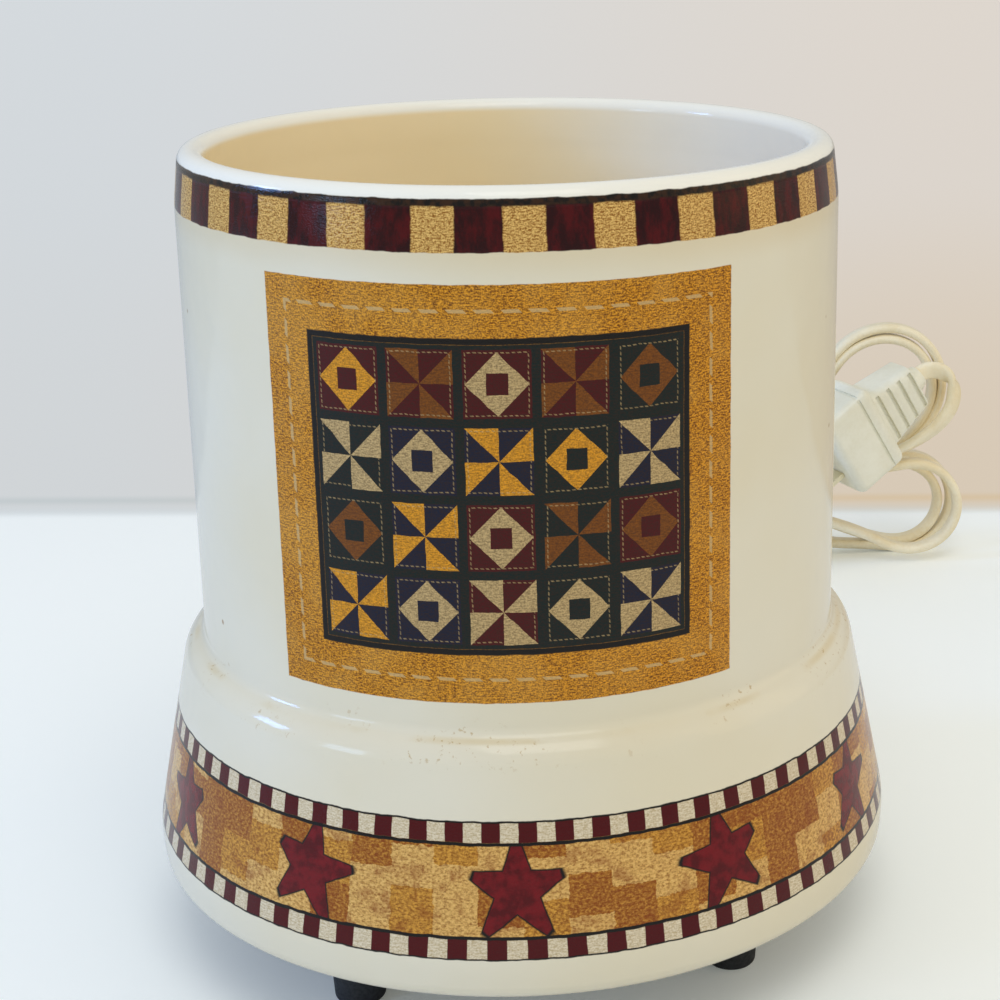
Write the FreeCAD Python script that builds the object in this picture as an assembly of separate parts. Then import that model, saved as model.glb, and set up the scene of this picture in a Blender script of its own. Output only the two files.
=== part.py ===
"""Electric candle warmer: a glazed ceramic crock with a heated plate in the floor of its well.

Millimetres, +Z up. The origin is on the floor, on the axis of the crock. The decorated front
faces -Y and the lead leaves the back at +Y. Azimuths are counted from -Y towards +X.
"""
import FreeCAD
import Part
import math
import os

os.makedirs("parts", exist_ok=True)

# ---------------------------------------------------------------- driving dimensions
# Crock, outside
body_radius = 62.5
lip_outer_radius = 61.3
lip_thickness = 4.9
lip_taper_height = 10.4
lip_blend_round = 30.0
body_height = 94.5
skirt_radius = 73.6
skirt_height = 46.2
shoulder_radius = 66.2
shoulder_drop = 2.1
shoulder_round = 5.5
crease_round = 2.2
skirt_edge_height = 7.5
skirt_foot_inset = 0.4
skirt_edge_round = 3.5
skirt_blend_round = 12.0

# Crock, inside
body_wall = 5.5
skirt_wall = 6.0
shelf_thickness = 5.5
shelf_below_crease = 1.7
shelf_hole_radius = 36.0
well_corner_round = 2.0
rebate_depth = 3.5
rebate_wall = 6.2
ledge_width = 4.0
ledge_height = 3.5

# Hot plate
plate_clearance = 1.3
plate_thickness = 1.2
plate_skirt_gap = 0.3
plate_edge_round = 1.6
plate_pad_margin = 14.7
plate_pad_step = 0.5
gasket_thickness = 1.0
gasket_edge_gap = 3.0
gasket_width = 8.0

# Heater stack under the plate
spreader_radius = 34.0
spreader_thickness = 1.5
mica_radius = 32.5
mica_thickness = 0.5
board_thickness = 0.8
ribbon_thickness = 0.3
ribbon_width = 1.3
ribbon_inner_radius = 11.0
ribbon_outer_radius = 29.0
ribbon_turns = 20
clamp_radius = 34.0
clamp_thickness = 1.0
clamp_rib_radius = 29.2
clamp_rib_height = 1.2
terminal_radius = 1.3
terminal_offset = 8.0
terminal_distance = 19.0
terminal_window_radius = 3.2
terminal_drop = 4.2
terminal_flange = 0.4

# Centre rod and its fastenings
rod_radius = 2.5
rod_hole_clearance = 0.3
nut_across_flats = 8.0
nut_height = 4.0
washer_radius = 5.0
washer_thickness = 1.0
rod_tail = 1.6
thread_clearance = 0.02

# Heat shield
shield_radius = 50.0
shield_thickness = 0.8
shield_rim_height = 5.0
shield_drop = 7.7
shield_slot_radius = 4.0
shield_slot_x = 22.0
shield_slot_y = 20.0
shield_vents = 8
shield_vent_radius = 2.5
spacer_wall = 1.4

# Thermal cut-off
fuse_radius = 1.8
fuse_length = 11.0
fuse_lead_radius = 0.5
fuse_tail = 1.5
fuse_distance = 15.0
sleeve_wall = 0.4
sleeve_clearance = 0.1
sleeve_length = 24.0
clip_thickness = 0.8
clip_width = 6.0
clip_ear = 4.0
rivet_radius = 1.0

# Wires
wire_radius = 0.9
splice_radius = 2.7
splice_length = 20.0
splice_offset = 12.0
splice_distance = 36.0
splice_height = 7.6
wire_step = 5.0
tail_flat = 4.0
tail_start = 2.6
tail_end = 3.4

# Base cover
cover_thickness = 1.2
cover_gap = 0.5
cover_gasket_thickness = 0.8
cover_dish_rise = 2.0
cover_dish_radius = 14.0
cover_bead_radius = 36.0
cover_bead_width = 6.0
cover_bead_rise = 1.2
cover_vents = 12
cover_vent_width = 3.0
cover_vent_inner = 19.0
cover_vent_outer = 29.0

# Feet
foot_length = 19.0
foot_top_radius = 5.9
foot_bottom_radius = 4.8
foot_edge_round = 1.0
foot_collar_radius = 7.0
foot_collar_height = 2.2
foot_circle_radius = 51.0
foot_count = 4
foot_turn = 50.6
screw_radius = 1.25
screw_clearance = 0.2
screw_head_radius = 2.3
screw_head_height = 2.0
screw_head_round = 0.8
screw_slot_width = 0.8
screw_slot_depth = 0.8
screw_tail = 1.6
screw_tip_round = 0.4
screw_seat_depth = 6.0
foot_nut_flats = 5.0
foot_nut_height = 2.0

# Lead bushing in the back wall
outlet_height = 14.5
outlet_radius = 6.5
outlet_clearance = 0.25
spot_face_radius = 9.6
spot_face_depth = 1.3
spot_face_lean = 1.3
bushing_flange_radius = 8.6
bushing_flange_thickness = 2.4
bushing_collar_radius = 7.8
bushing_collar_length = 2.2
bushing_wall_bulge = 2.0
bushing_wall_gap = 1.6
boot_root_radius = 5.6
boot_tip_radius = 4.0
boot_length = 25.0
boot_grooves = 5
boot_groove_width = 1.4
boot_groove_depth = 1.0

# Flat two-core cord, its folded hank and the plug
cord_width = 5.2
core_radius = 1.35
lead_first_run = 14.6
lead_last_run = 18.2
lead_sway = 6.6
lead_lay = 4.2
hank_front = 187.0
hank_depth = 16.0
hank_upper_depth = 11.0
hank_left = 6.0
hank_right = 136.4
hank_left_height = 38.0
hank_corner_cut = 10.0
hank_neck_flare = 16.0
hank_round = 12.0
hank_neck_gap = 4.0
hank_loop_height = 76.0
pinch_x = 120.0
pinch_height = 32.0
tie_start = 58.0
tie_width = 4.0
tie_thickness = 0.9
tie_bottom = 12.0
tie_top = 31.0
plug_x = 104.2
plug_y = 179.0
plug_height = 49.3
plug_climb = 32.0
plug_swing = 25.0
plug_block_length = 18.0
plug_block_width = 27.5
plug_block_thickness = 17.5
plug_block_round = 2.6
plug_groove_at = 4.8
plug_groove_width = 1.0
plug_groove_depth = 0.6
grip_length = 15.5
grip_width = 19.6
grip_tip_width = 15.0
grip_thickness = 13.8
grip_tip_thickness = 11.6
grip_round = 3.0
grip_grooves = 4
grip_groove_start = 1.0
grip_groove_pitch = 4.2
grip_groove_width = 1.4
grip_groove_depth = 1.2
nub_length = 3.8
nub_root_radius = 4.6
nub_tip_radius = 3.3
blade_length = 17.0
blade_thickness = 1.5
blade_spacing = 12.7
wide_blade_width = 7.9
narrow_blade_width = 6.3
blade_hole_radius = 1.6

# ---------------------------------------------------------------- derived levels and radii
rod_hole_radius = rod_radius + rod_hole_clearance
cover_bottom = foot_length
cover_top = cover_bottom + cover_thickness
ledge_level = cover_top + cover_gasket_thickness
crock_bottom = ledge_level - rebate_depth
crease_level = crock_bottom + skirt_height
lip_level = crease_level + body_height
shelf_top = crease_level - shelf_below_crease
shelf_bottom = shelf_top - shelf_thickness
shoulder_level = crease_level - shoulder_drop
skirt_edge_level = crock_bottom + skirt_edge_height
skirt_foot_radius = skirt_radius - skirt_foot_inset
rebate_radius = skirt_foot_radius - rebate_wall
ledge_radius = rebate_radius - ledge_width
ledge_top = ledge_level + ledge_height
lip_inner_radius = lip_outer_radius - lip_thickness
well_radius = body_radius - body_wall

plate_bottom = shelf_top + gasket_thickness
plate_radius = well_radius - plate_clearance
plate_pad_radius = plate_radius - plate_pad_margin
gasket_outer_radius = plate_radius - plate_thickness - gasket_edge_gap
gasket_inner_radius = gasket_outer_radius - gasket_width
spreader_bottom = plate_bottom - spreader_thickness
mica_upper_bottom = spreader_bottom - mica_thickness
ribbon_bottom = mica_upper_bottom - ribbon_thickness
board_bottom = ribbon_bottom - board_thickness
mica_lower_bottom = board_bottom - mica_thickness
clamp_bottom = mica_lower_bottom - clamp_thickness
clamp_washer_bottom = clamp_bottom - washer_thickness
clamp_nut_bottom = clamp_washer_bottom - nut_height
shield_top = clamp_nut_bottom - shield_drop
shield_bottom = shield_top - shield_thickness
dish_bottom = cover_bottom + cover_dish_rise
base_washer_bottom = dish_bottom - washer_thickness
base_nut_bottom = base_washer_bottom - nut_height
rod_bottom = base_nut_bottom - rod_tail

fuse_sleeve_inner = fuse_radius + sleeve_clearance
fuse_sleeve_outer = fuse_sleeve_inner + sleeve_wall
fuse_level = clamp_bottom - fuse_sleeve_outer
splice_level = cover_top + splice_height
outlet_level = crock_bottom + outlet_height
spot_face_y = skirt_radius - spot_face_depth - spot_face_lean
bushing_outer_y = spot_face_y + bushing_flange_thickness
boot_tip_y = bushing_outer_y + boot_length


# ---------------------------------------------------------------- small tools
def vec(x, y, z):
    """A point or direction."""
    return FreeCAD.Vector(x, y, z)


def around(radius, azimuth, z):
    """Point at a radius and an azimuth (degrees from -Y towards +X)."""
    angle = math.radians(azimuth)
    return vec(radius * math.sin(angle), -radius * math.cos(angle), z)


def rounded_wire(corners, place, closed=True):
    """Straight runs through (u, v, round) corners, each corner rounded by a tangent arc."""
    points = [place(u, v) for u, v, _ in corners]
    rounds = [r for _, _, r in corners]
    count = len(points)
    stops = []
    for i, point in enumerate(points):
        if rounds[i] <= 0 or (not closed and i in (0, count - 1)):
            stops.append((point, None, point))
            continue
        before = points[i - 1] - point
        after = points[(i + 1) % count] - point
        half = before.getAngle(after) / 2.0
        reach = rounds[i] / math.tan(half)
        to_before = vec(*before).normalize()
        to_after = vec(*after).normalize()
        middle = (to_before + to_after).normalize()
        crown = point + middle * (rounds[i] / math.sin(half) - rounds[i])
        stops.append((point + to_before * reach, crown, point + to_after * reach))
    edges = []
    for i, (start, crown, end) in enumerate(stops):
        if crown is not None:
            edges.append(Part.Arc(start, crown, end).toShape())
        if i < count - 1 or closed:
            following = stops[(i + 1) % count][0]
            if end.distanceToPoint(following) > 1e-6:
                edges.append(Part.LineSegment(end, following).toShape())
    return Part.Wire(edges)


def turned(corners):
    """Solid of revolution about Z from (radius, height, round) corners."""
    wire = rounded_wire(corners, lambda r, z: vec(r, 0, z))
    return Part.Face(wire).revolve(vec(0, 0, 0), vec(0, 0, 1), 360)


def ring(inner, outer, bottom, top):
    """Flat ring with square edges."""
    return turned([(inner, bottom, 0), (outer, bottom, 0), (outer, top, 0), (inner, top, 0)])


def rod(radius, start, end):
    """Round bar between two points."""
    along = end - start
    return Part.makeCylinder(radius, along.Length, start, along)


def cone(radius_a, radius_b, start, end):
    """Tapered round bar between two points."""
    along = end - start
    return Part.makeCone(radius_a, radius_b, along.Length, start, along)


def box(x0, x1, y0, y1, z0, z1):
    """Block between two corners."""
    return Part.makeBox(x1 - x0, y1 - y0, z1 - z0, vec(x0, y0, z0))


def bar(start, end, width, z0, z1):
    """Flat bar of a given width between two points, standing between two levels."""
    along = end - start
    block = box(0, along.Length, -width / 2, width / 2, z0, z1)
    block.rotate(vec(0, 0, 0), vec(0, 0, 1), math.degrees(math.atan2(along.y, along.x)))
    block.translate(vec(start.x, start.y, 0))
    return block


def hexagon_nut(flats, bore, centre, bottom, height):
    """Hexagon nut with chamfered corners standing on a level."""
    corner = flats / math.sqrt(3.0)
    points = []
    for i in range(7):
        angle = math.radians(60 * i)
        points.append(centre + vec(corner * math.cos(angle), corner * math.sin(angle), bottom))
    body = Part.Face(Part.makePolygon(points)).extrude(vec(0, 0, height))
    bevel = (corner - flats / 2) * 0.6
    rounding = turned([
        (0, bottom, 0),
        (corner - bevel, bottom, 0),
        (corner, bottom + bevel, 0),
        (corner, bottom + height - bevel, 0),
        (corner - bevel, bottom + height, 0),
        (0, bottom + height, 0),
    ])
    rounding.translate(centre)
    hole = rod(bore, centre + vec(0, 0, bottom), centre + vec(0, 0, bottom + height))
    return body.common(rounding).cut(hole)


def tube(points, radius, report=""):
    """Round tube along straight runs joined by the largest tangent arcs that the runs allow."""
    corners = []
    radii = []
    for i, point in enumerate(points):
        size = 0.0
        if 0 < i < len(points) - 1:
            before = points[i] - points[i - 1]
            after = points[i + 1] - points[i]
            turn = before.getAngle(after)
            size = 0.45 * min(before.Length, after.Length) / math.tan(turn / 2.0)
            radii.append(size)
        corners.append((point, i, size))
    path = rounded_wire(corners, lambda p, _: p, closed=False)
    profile = Part.Wire(Part.makeCircle(radius, points[0], points[1] - points[0]))
    solid = path.makePipeShell([profile], True, False)
    if report:
        expected = math.pi * radius ** 2 * path.Length
        print(report, "length", round(path.Length, 1), "volume ratio", round(solid.Volume / expected, 4))
        print(report, "arc radii", [round(r, 1) for r in radii])
    return solid


def group(solids):
    """Several separate solids kept in one node."""
    return Part.makeCompound(solids)


def foot_azimuths():
    """Azimuths of the feet."""
    return [foot_turn + i * 360.0 / foot_count for i in range(foot_count)]


# ---------------------------------------------------------------- ceramic crock
def ceramic_housing():
    """Slip-cast crock: lip, tapered band, body, crease, shoulder and flared skirt, hollow below."""
    lip_round = lip_thickness * 0.49
    inner_slope = (skirt_radius - shoulder_radius) / (shoulder_level - skirt_edge_level)
    cavity_top = shelf_bottom
    cavity_top_radius = skirt_radius - skirt_wall - inner_slope * (cavity_top - skirt_edge_level)
    cavity_low = ledge_top + ledge_width
    cavity_low_radius = skirt_radius - skirt_wall - inner_slope * (cavity_low - skirt_edge_level)
    crock = turned([
        (lip_inner_radius, lip_level, lip_round),
        (lip_outer_radius, lip_level, lip_round),
        (body_radius, lip_level - lip_taper_height, lip_blend_round),
        (body_radius, crease_level, crease_round),
        (shoulder_radius, shoulder_level, shoulder_round),
        (skirt_radius, skirt_edge_level, skirt_blend_round),
        (skirt_foot_radius, crock_bottom, skirt_edge_round),
        (rebate_radius, crock_bottom, 1.2),
        (rebate_radius, ledge_level, 0),
        (ledge_radius, ledge_level, 1.0),
        (ledge_radius, ledge_top, 1.0),
        (cavity_low_radius, cavity_low, 4.0),
        (cavity_top_radius, cavity_top, 4.0),
        (shelf_hole_radius, shelf_bottom, 1.0),
        (shelf_hole_radius, shelf_top, 1.0),
        (well_radius, shelf_top, well_corner_round),
        (well_radius, lip_level - lip_taper_height, lip_blend_round),
    ])
    beyond = vec(0, 2 * skirt_radius, outlet_level)
    outlet = rod(outlet_radius, vec(0, 0.6 * skirt_radius, outlet_level), beyond)
    flat = rod(spot_face_radius, vec(0, spot_face_y, outlet_level), beyond)
    return crock.cut(outlet.fuse(flat))


# ---------------------------------------------------------------- hot plate and heater stack
def warmer_plate():
    """Aluminium plate with a turned-down edge and a slightly raised pad for the jar."""
    low = plate_bottom
    top = low + plate_thickness
    inner = plate_radius - plate_thickness
    edge = shelf_top + plate_skirt_gap
    pad = top + plate_pad_step
    return turned([
        (0, low, 0),
        (inner, low, 0.4),
        (inner, edge, 0),
        (plate_radius, edge, 0.3),
        (plate_radius, top, plate_edge_round),
        (plate_pad_radius + plate_pad_step, top, 0),
        (plate_pad_radius, pad, 0),
        (0, pad, 0),
    ])


def plate_gasket():
    """Heat-proof ring between the plate and the ceramic shelf."""
    return ring(gasket_inner_radius, gasket_outer_radius, shelf_top, plate_bottom)


def heat_spreader():
    """Aluminium disc that spreads the heat under the plate."""
    return ring(rod_hole_radius, spreader_radius, spreader_bottom, plate_bottom)


def mica_sheet(bottom, windows):
    """Mica insulating disc, with windows for the terminals where they pass."""
    sheet = ring(rod_hole_radius, mica_radius, bottom, bottom + mica_thickness)
    if windows:
        sheet = sheet.cut(group(terminal_bars(terminal_window_radius, bottom - 1, bottom + 2)))
    return sheet


def terminal_bars(radius, bottom, top):
    """Two upright bars where the terminals stand."""
    bars = []
    for side in (-1, 1):
        foot = vec(side * terminal_offset, -terminal_distance, bottom)
        bars.append(rod(radius, foot, vec(foot.x, foot.y, top)))
    return bars


def ribbon_board():
    """Mica board that carries the heating ribbon."""
    board = ring(rod_hole_radius, mica_radius, board_bottom, ribbon_bottom)
    return board.cut(group(terminal_bars(terminal_radius, board_bottom - 1, ribbon_bottom + 1)))


def heating_ribbon():
    """Flat resistance ribbon laid in a zigzag from one terminal round to the other."""
    first_azimuth = math.degrees(math.atan2(terminal_offset, terminal_distance))
    gap = (360.0 - 2 * first_azimuth) / ribbon_turns
    solids = []
    previous = None
    for i in range(ribbon_turns + 1):
        azimuth = first_azimuth + gap * i
        inner = around(ribbon_inner_radius, azimuth, 0)
        outer = around(ribbon_outer_radius, azimuth, 0)
        first, last = (inner, outer) if i % 2 else (outer, inner)
        level = (ribbon_bottom, mica_upper_bottom)
        solids.append(bar(inner, outer, ribbon_width, *level))
        if previous is not None:
            solids.append(bar(previous, first, ribbon_width, *level))
        previous = last
    ribbon = solids[0].multiFuse(solids[1:]).removeSplitter()
    return ribbon


def clamp_plate():
    """Pressed steel plate that holds the heater against the spreader, with a stiffening rib."""
    rib = clamp_rib_radius
    low = clamp_bottom
    top = mica_lower_bottom
    drop = clamp_rib_height
    plate = turned([
        (rod_hole_radius, top, 0),
        (rib - 3, top, 0),
        (rib - 1.5, top - drop, 0),
        (rib + 1.5, top - drop, 0),
        (rib + 3, top, 0),
        (clamp_radius, top, 0),
        (clamp_radius, low, 0),
        (rib + 3, low, 0),
        (rib + 1.5, low - drop, 0),
        (rib - 1.5, low - drop, 0),
        (rib - 3, low, 0),
        (rod_hole_radius, low, 0),
    ])
    windows = terminal_bars(terminal_window_radius, low - 3, top + 1)
    rivets = [rod(rivet_radius, p + vec(0, 0, low - 3), p + vec(0, 0, top + 1)) for p in rivet_points()]
    return plate.cut(group(windows + rivets))


def element_terminals():
    """Two eyelet terminals riveted through the ribbon board."""
    solids = []
    for side in (-1, 1):
        foot = vec(side * terminal_offset, -terminal_distance, clamp_bottom - terminal_drop)
        shank = rod(terminal_radius, foot, vec(foot.x, foot.y, ribbon_bottom))
        under = vec(foot.x, foot.y, board_bottom)
        flange = rod(terminal_radius * 1.8, under - vec(0, 0, terminal_flange), under)
        solids.append(shank.fuse(flange))
    return group(solids)


def centre_rod():
    """Threaded rod welded under the plate; it clamps plate, crock and base cover together."""
    return rod(rod_radius, vec(0, 0, rod_bottom), vec(0, 0, plate_bottom))


def washer(bottom):
    """Plain washer on the rod."""
    return ring(rod_hole_radius, washer_radius, bottom, bottom + washer_thickness)


def rod_nut(bottom):
    """Hexagon nut on the rod."""
    return hexagon_nut(nut_across_flats, rod_radius + thread_clearance, vec(0, 0, 0), bottom, nut_height)


def shield_spacer():
    """Tube that keeps the heat shield at its distance below the heater."""
    return ring(rod_hole_radius, rod_hole_radius + spacer_wall, shield_top, clamp_nut_bottom)


def heat_shield():
    """Dished reflector with vent holes and two slots for the wires."""
    top = shield_top + shield_rim_height
    inner = shield_radius - shield_thickness
    shield = turned([
        (rod_hole_radius, shield_bottom, 0),
        (shield_radius, shield_bottom, 2.0),
        (shield_radius, top, 0),
        (inner, top, 0),
        (inner, shield_top, 1.2),
        (rod_hole_radius, shield_top, 0),
    ])
    cutters = []
    for i in range(shield_vents):
        point = around(0.8 * shield_radius, (i + 0.5) * 360.0 / shield_vents, shield_bottom - 1)
        cutters.append(rod(shield_vent_radius, point, point + vec(0, 0, 3)))
    for point in shield_slots():
        below = point + vec(0, 0, shield_bottom - 1)
        cutters.append(rod(shield_slot_radius, below, point + vec(0, 0, shield_top + 1)))
    return shield.cut(group(cutters))


def shield_slots():
    """Where the wires pass through the shield."""
    return [vec(-shield_slot_x, shield_slot_y, 0), vec(shield_slot_x, shield_slot_y, 0)]


# ---------------------------------------------------------------- thermal cut-off
def thermal_fuse():
    """One-shot thermal cut-off: a small can with a wire at each end."""
    centre = vec(0, fuse_distance, fuse_level)
    reach = vec(fuse_length / 2, 0, 0)
    lead = vec(sleeve_length / 2 + fuse_tail, 0, 0)
    can = rod(fuse_radius, centre - reach, centre + reach)
    taper = cone(fuse_radius, fuse_lead_radius, centre + reach, centre + reach + vec(1.5, 0, 0))
    return can.fuse(taper).fuse(rod(fuse_lead_radius, centre - lead, centre + lead))


def fuse_sleeve():
    """Glass-fibre sleeve over the cut-off."""
    start = vec(-sleeve_length / 2, fuse_distance, fuse_level)
    end = vec(sleeve_length / 2, fuse_distance, fuse_level)
    return rod(fuse_sleeve_outer, start, end).cut(rod(fuse_sleeve_inner, start, end))


def clip_reach():
    """Half the span of the clip over both ears."""
    return fuse_sleeve_outer + 0.1 + clip_thickness + clip_ear


def rivet_points():
    """Centres of the two clip rivets."""
    offset = clip_reach() - clip_ear / 2
    return [vec(0, fuse_distance - offset, 0), vec(0, fuse_distance + offset, 0)]


def fuse_clip():
    """Strap that holds the sleeved cut-off up against the clamp plate."""
    inner = fuse_sleeve_outer + 0.1
    outer = inner + clip_thickness
    reach = clip_reach()
    ear = clamp_bottom - clip_thickness
    outline = rounded_wire([
        (-reach, clamp_bottom, 0),
        (-reach, ear, 0),
        (-outer, ear, 0),
        (-outer, fuse_level - outer, outer - 0.01),
        (outer, fuse_level - outer, outer - 0.01),
        (outer, ear, 0),
        (reach, ear, 0),
        (reach, clamp_bottom, 0),
        (inner, clamp_bottom, 0),
        (inner, fuse_level - inner, inner - 0.01),
        (-inner, fuse_level - inner, inner - 0.01),
        (-inner, clamp_bottom, 0),
    ], lambda y, z: vec(-clip_width / 2, fuse_distance + y, z))
    clip = Part.Face(outline).extrude(vec(clip_width, 0, 0))
    below = vec(0, 0, clamp_bottom - 2)
    above = vec(0, 0, clamp_bottom + 1)
    return clip.cut(group([rod(rivet_radius, p + below, p + above) for p in rivet_points()]))


def clip_rivets():
    """Rivets through the clip's ears and the clamp plate."""
    solids = []
    for point in rivet_points():
        shank_low = clamp_bottom - clip_thickness
        head = rod(rivet_radius * 1.7, point + vec(0, 0, shank_low - 0.6), point + vec(0, 0, shank_low))
        shank = rod(rivet_radius, point + vec(0, 0, shank_low), point + vec(0, 0, mica_lower_bottom))
        solids.append(shank.fuse(head))
    return group(solids)


# ---------------------------------------------------------------- wires
def terminal_foot(side):
    """Lower end of a terminal."""
    return vec(side * terminal_offset, -terminal_distance, clamp_bottom - terminal_drop)


def fuse_end(side):
    """End of one of the cut-off's own wires."""
    return vec(side * (sleeve_length / 2 + fuse_tail), fuse_distance, fuse_level)


def splice_end(side, front):
    """Mouth of a splice, at its front or its back."""
    half = splice_length / 2
    return vec(side * splice_offset, splice_distance + (-half if front else half), splice_level)


def step(x, y, z):
    """A move of so many wire steps along each axis."""
    return vec(x, y, z) * wire_step


def wire_terminal_to_fuse():
    """Wire from one terminal round to the cut-off, above the shield."""
    start = terminal_foot(1)
    end = fuse_end(1)
    return tube([
        start,
        start + step(0, 0, -0.48),
        start + step(1.2, 0.8, -0.72),
        start + step(3.0, 2.6, -0.68),
        end + step(1.9, -1.6, -0.4),
        end + step(1.7, -0.12, -0.12),
        end + step(0.72, 0, 0),
        end,
    ], wire_radius)


def drop_to_splice(side):
    """Points of a wire that goes down through a shield slot and into the front of a splice."""
    slot = shield_slots()[0 if side < 0 else 1]
    mouth = splice_end(side, True)
    return [
        slot + vec(0, 0, shield_top) + step(0, -0.2, 0.68),
        slot + vec(0, 0, shield_bottom) + step(0, 0, -1.0),
        slot + vec(0, 0, splice_level) + step(-side * 0.3, -0.5, 1.3),
        mouth + step(side * 0.9, -1.7, 0.2),
        mouth + step(0, -0.9, 0),
        mouth,
    ]


def wire_fuse_to_splice():
    """Wire from the cut-off down to its splice."""
    start = fuse_end(-1)
    lead_out = [start, start + step(-0.72, 0, 0), start + step(-1.48, 0.28, -0.6)]
    return tube(lead_out + drop_to_splice(-1), wire_radius)


def wire_terminal_to_splice():
    """Wire from the other terminal down to its splice; it crosses under the heater."""
    start = terminal_foot(-1)
    return tube([
        start,
        start + step(0, 0, -0.52),
        start + step(1.0, -0.8, -0.92),
        start + step(3.0, -1.3, -1.04),
        start + step(5.2, -0.5, -1.04),
        start + step(7.0, 1.6, -1.04),
        start + step(7.5, 4.0, -1.04),
    ] + drop_to_splice(1), wire_radius)


def splice(side):
    """Insulated crimp sleeve that joins a wire to a core of the cord."""
    front = splice_end(side, True)
    back = splice_end(side, False)
    flare = vec(0, 2.0, 0)
    body = rod(splice_radius * 0.82, front, back)
    body = body.fuse(rod(splice_radius, front, front + flare))
    body = body.fuse(rod(splice_radius, back - flare, back))
    middle = (front + back) * 0.5
    return body.fuse(rod(splice_radius * 0.92, middle - flare, middle + flare))


def cord_tail():
    """Inner end of the cord: a short flat stretch, then the two cores to the splices."""
    face = bushing_inner_y()
    split = face - tail_flat
    half = cord_width / 2 - core_radius
    solids = []
    for side in (-1, 1):
        start = vec(side * half, face, outlet_level)
        mouth = splice_end(side, False)
        solids.append(rod(core_radius, start, vec(start.x, split, start.z)))
        solids.append(tube([
            vec(start.x, split, start.z),
            vec(start.x, split - tail_start, start.z),
            vec(mouth.x, mouth.y + tail_end, splice_level),
            mouth,
        ], core_radius))
    return group(solids)


# ---------------------------------------------------------------- base cover and feet
def base_cover():
    """Pressed steel cover with a dished middle, a stiffening bead, vents and foot holes."""
    t = cover_thickness
    low = cover_bottom
    dish = cover_dish_rise
    radius = rebate_radius - cover_gap
    bead = cover_bead_radius
    half = cover_bead_width / 2
    slope = 1.6
    lower = [
        (rod_hole_radius, low + dish),
        (cover_dish_radius, low + dish),
        (cover_dish_radius + slope * 1.5, low),
        (bead - half, low),
        (bead - half + slope, low + cover_bead_rise),
        (bead + half - slope, low + cover_bead_rise),
        (bead + half, low),
        (radius, low),
    ]
    outline = [(r, z, 0) for r, z in lower] + [(r, z + t, 0) for r, z in reversed(lower)]
    cover = turned(outline)
    cutters = []
    for azimuth in foot_azimuths():
        point = around(foot_circle_radius, azimuth, low - 1)
        cutters.append(rod(screw_radius + screw_clearance, point, point + vec(0, 0, t + 2)))
    for i in range(cover_vents):
        azimuth = i * 360.0 / cover_vents
        inner = around(cover_vent_inner, azimuth, 0)
        outer = around(cover_vent_outer, azimuth, 0)
        slot = bar(inner, outer, cover_vent_width, low - 1, low + t + 1)
        for end in (inner, outer):
            above = end + vec(0, 0, low + t + 1)
            slot = slot.fuse(rod(cover_vent_width / 2, end + vec(0, 0, low - 1), above))
        cutters.append(slot)
    return cover.cut(group(cutters))


def cover_gasket():
    """Fibre ring between the cover and the crock's ledge."""
    return ring(ledge_radius + 0.4, rebate_radius - cover_gap, cover_top, ledge_level)


def rubber_foot(azimuth):
    """Tapered rubber foot with a collar, a rounded sole and a deep screw hole."""
    seat = foot_length - screw_seat_depth
    collar_low = foot_length - foot_collar_height
    bore = screw_radius + screw_clearance
    pocket = screw_head_radius + screw_clearance
    foot = turned([
        (pocket, 0, 0),
        (foot_bottom_radius, 0, foot_edge_round),
        (foot_top_radius, collar_low, 0.5),
        (foot_collar_radius, collar_low, 0.4),
        (foot_collar_radius, foot_length, 0),
        (bore, foot_length, 0),
        (bore, seat, 0),
        (pocket, seat, 0),
    ])
    foot.translate(around(foot_circle_radius, azimuth, 0))
    return foot


def foot_screws():
    """Pan-head screws that hold the feet."""
    solids = []
    seat = foot_length - screw_seat_depth
    tip = cover_top + foot_nut_height + screw_tail
    for azimuth in foot_azimuths():
        screw = turned([
            (0, seat - screw_head_height, 0),
            (screw_head_radius, seat - screw_head_height, screw_head_round),
            (screw_head_radius, seat, 0),
            (screw_radius, seat, 0),
            (screw_radius, tip, screw_tip_round),
            (0, tip, 0),
        ])
        low = seat - screw_head_height
        side = screw_slot_width / 2
        slot = box(-screw_head_radius, screw_head_radius, -side, side, low, low + screw_slot_depth)
        screw = screw.cut(slot)
        screw.translate(around(foot_circle_radius, azimuth, 0))
        solids.append(screw)
    return group(solids)


def foot_nuts():
    """Nuts on the foot screws, inside the base."""
    nuts = []
    for azimuth in foot_azimuths():
        centre = around(foot_circle_radius, azimuth, 0)
        bore = screw_radius + thread_clearance
        nuts.append(hexagon_nut(foot_nut_flats, bore, centre, cover_top, foot_nut_height))
    return group(nuts)


# ---------------------------------------------------------------- cord outlet
def bushing_inner_y():
    """Inner face of the bushing, inside the back wall."""
    chord = math.sqrt((ledge_radius + bushing_wall_bulge) ** 2 - bushing_collar_radius ** 2)
    return chord - bushing_collar_length - bushing_wall_gap


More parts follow.
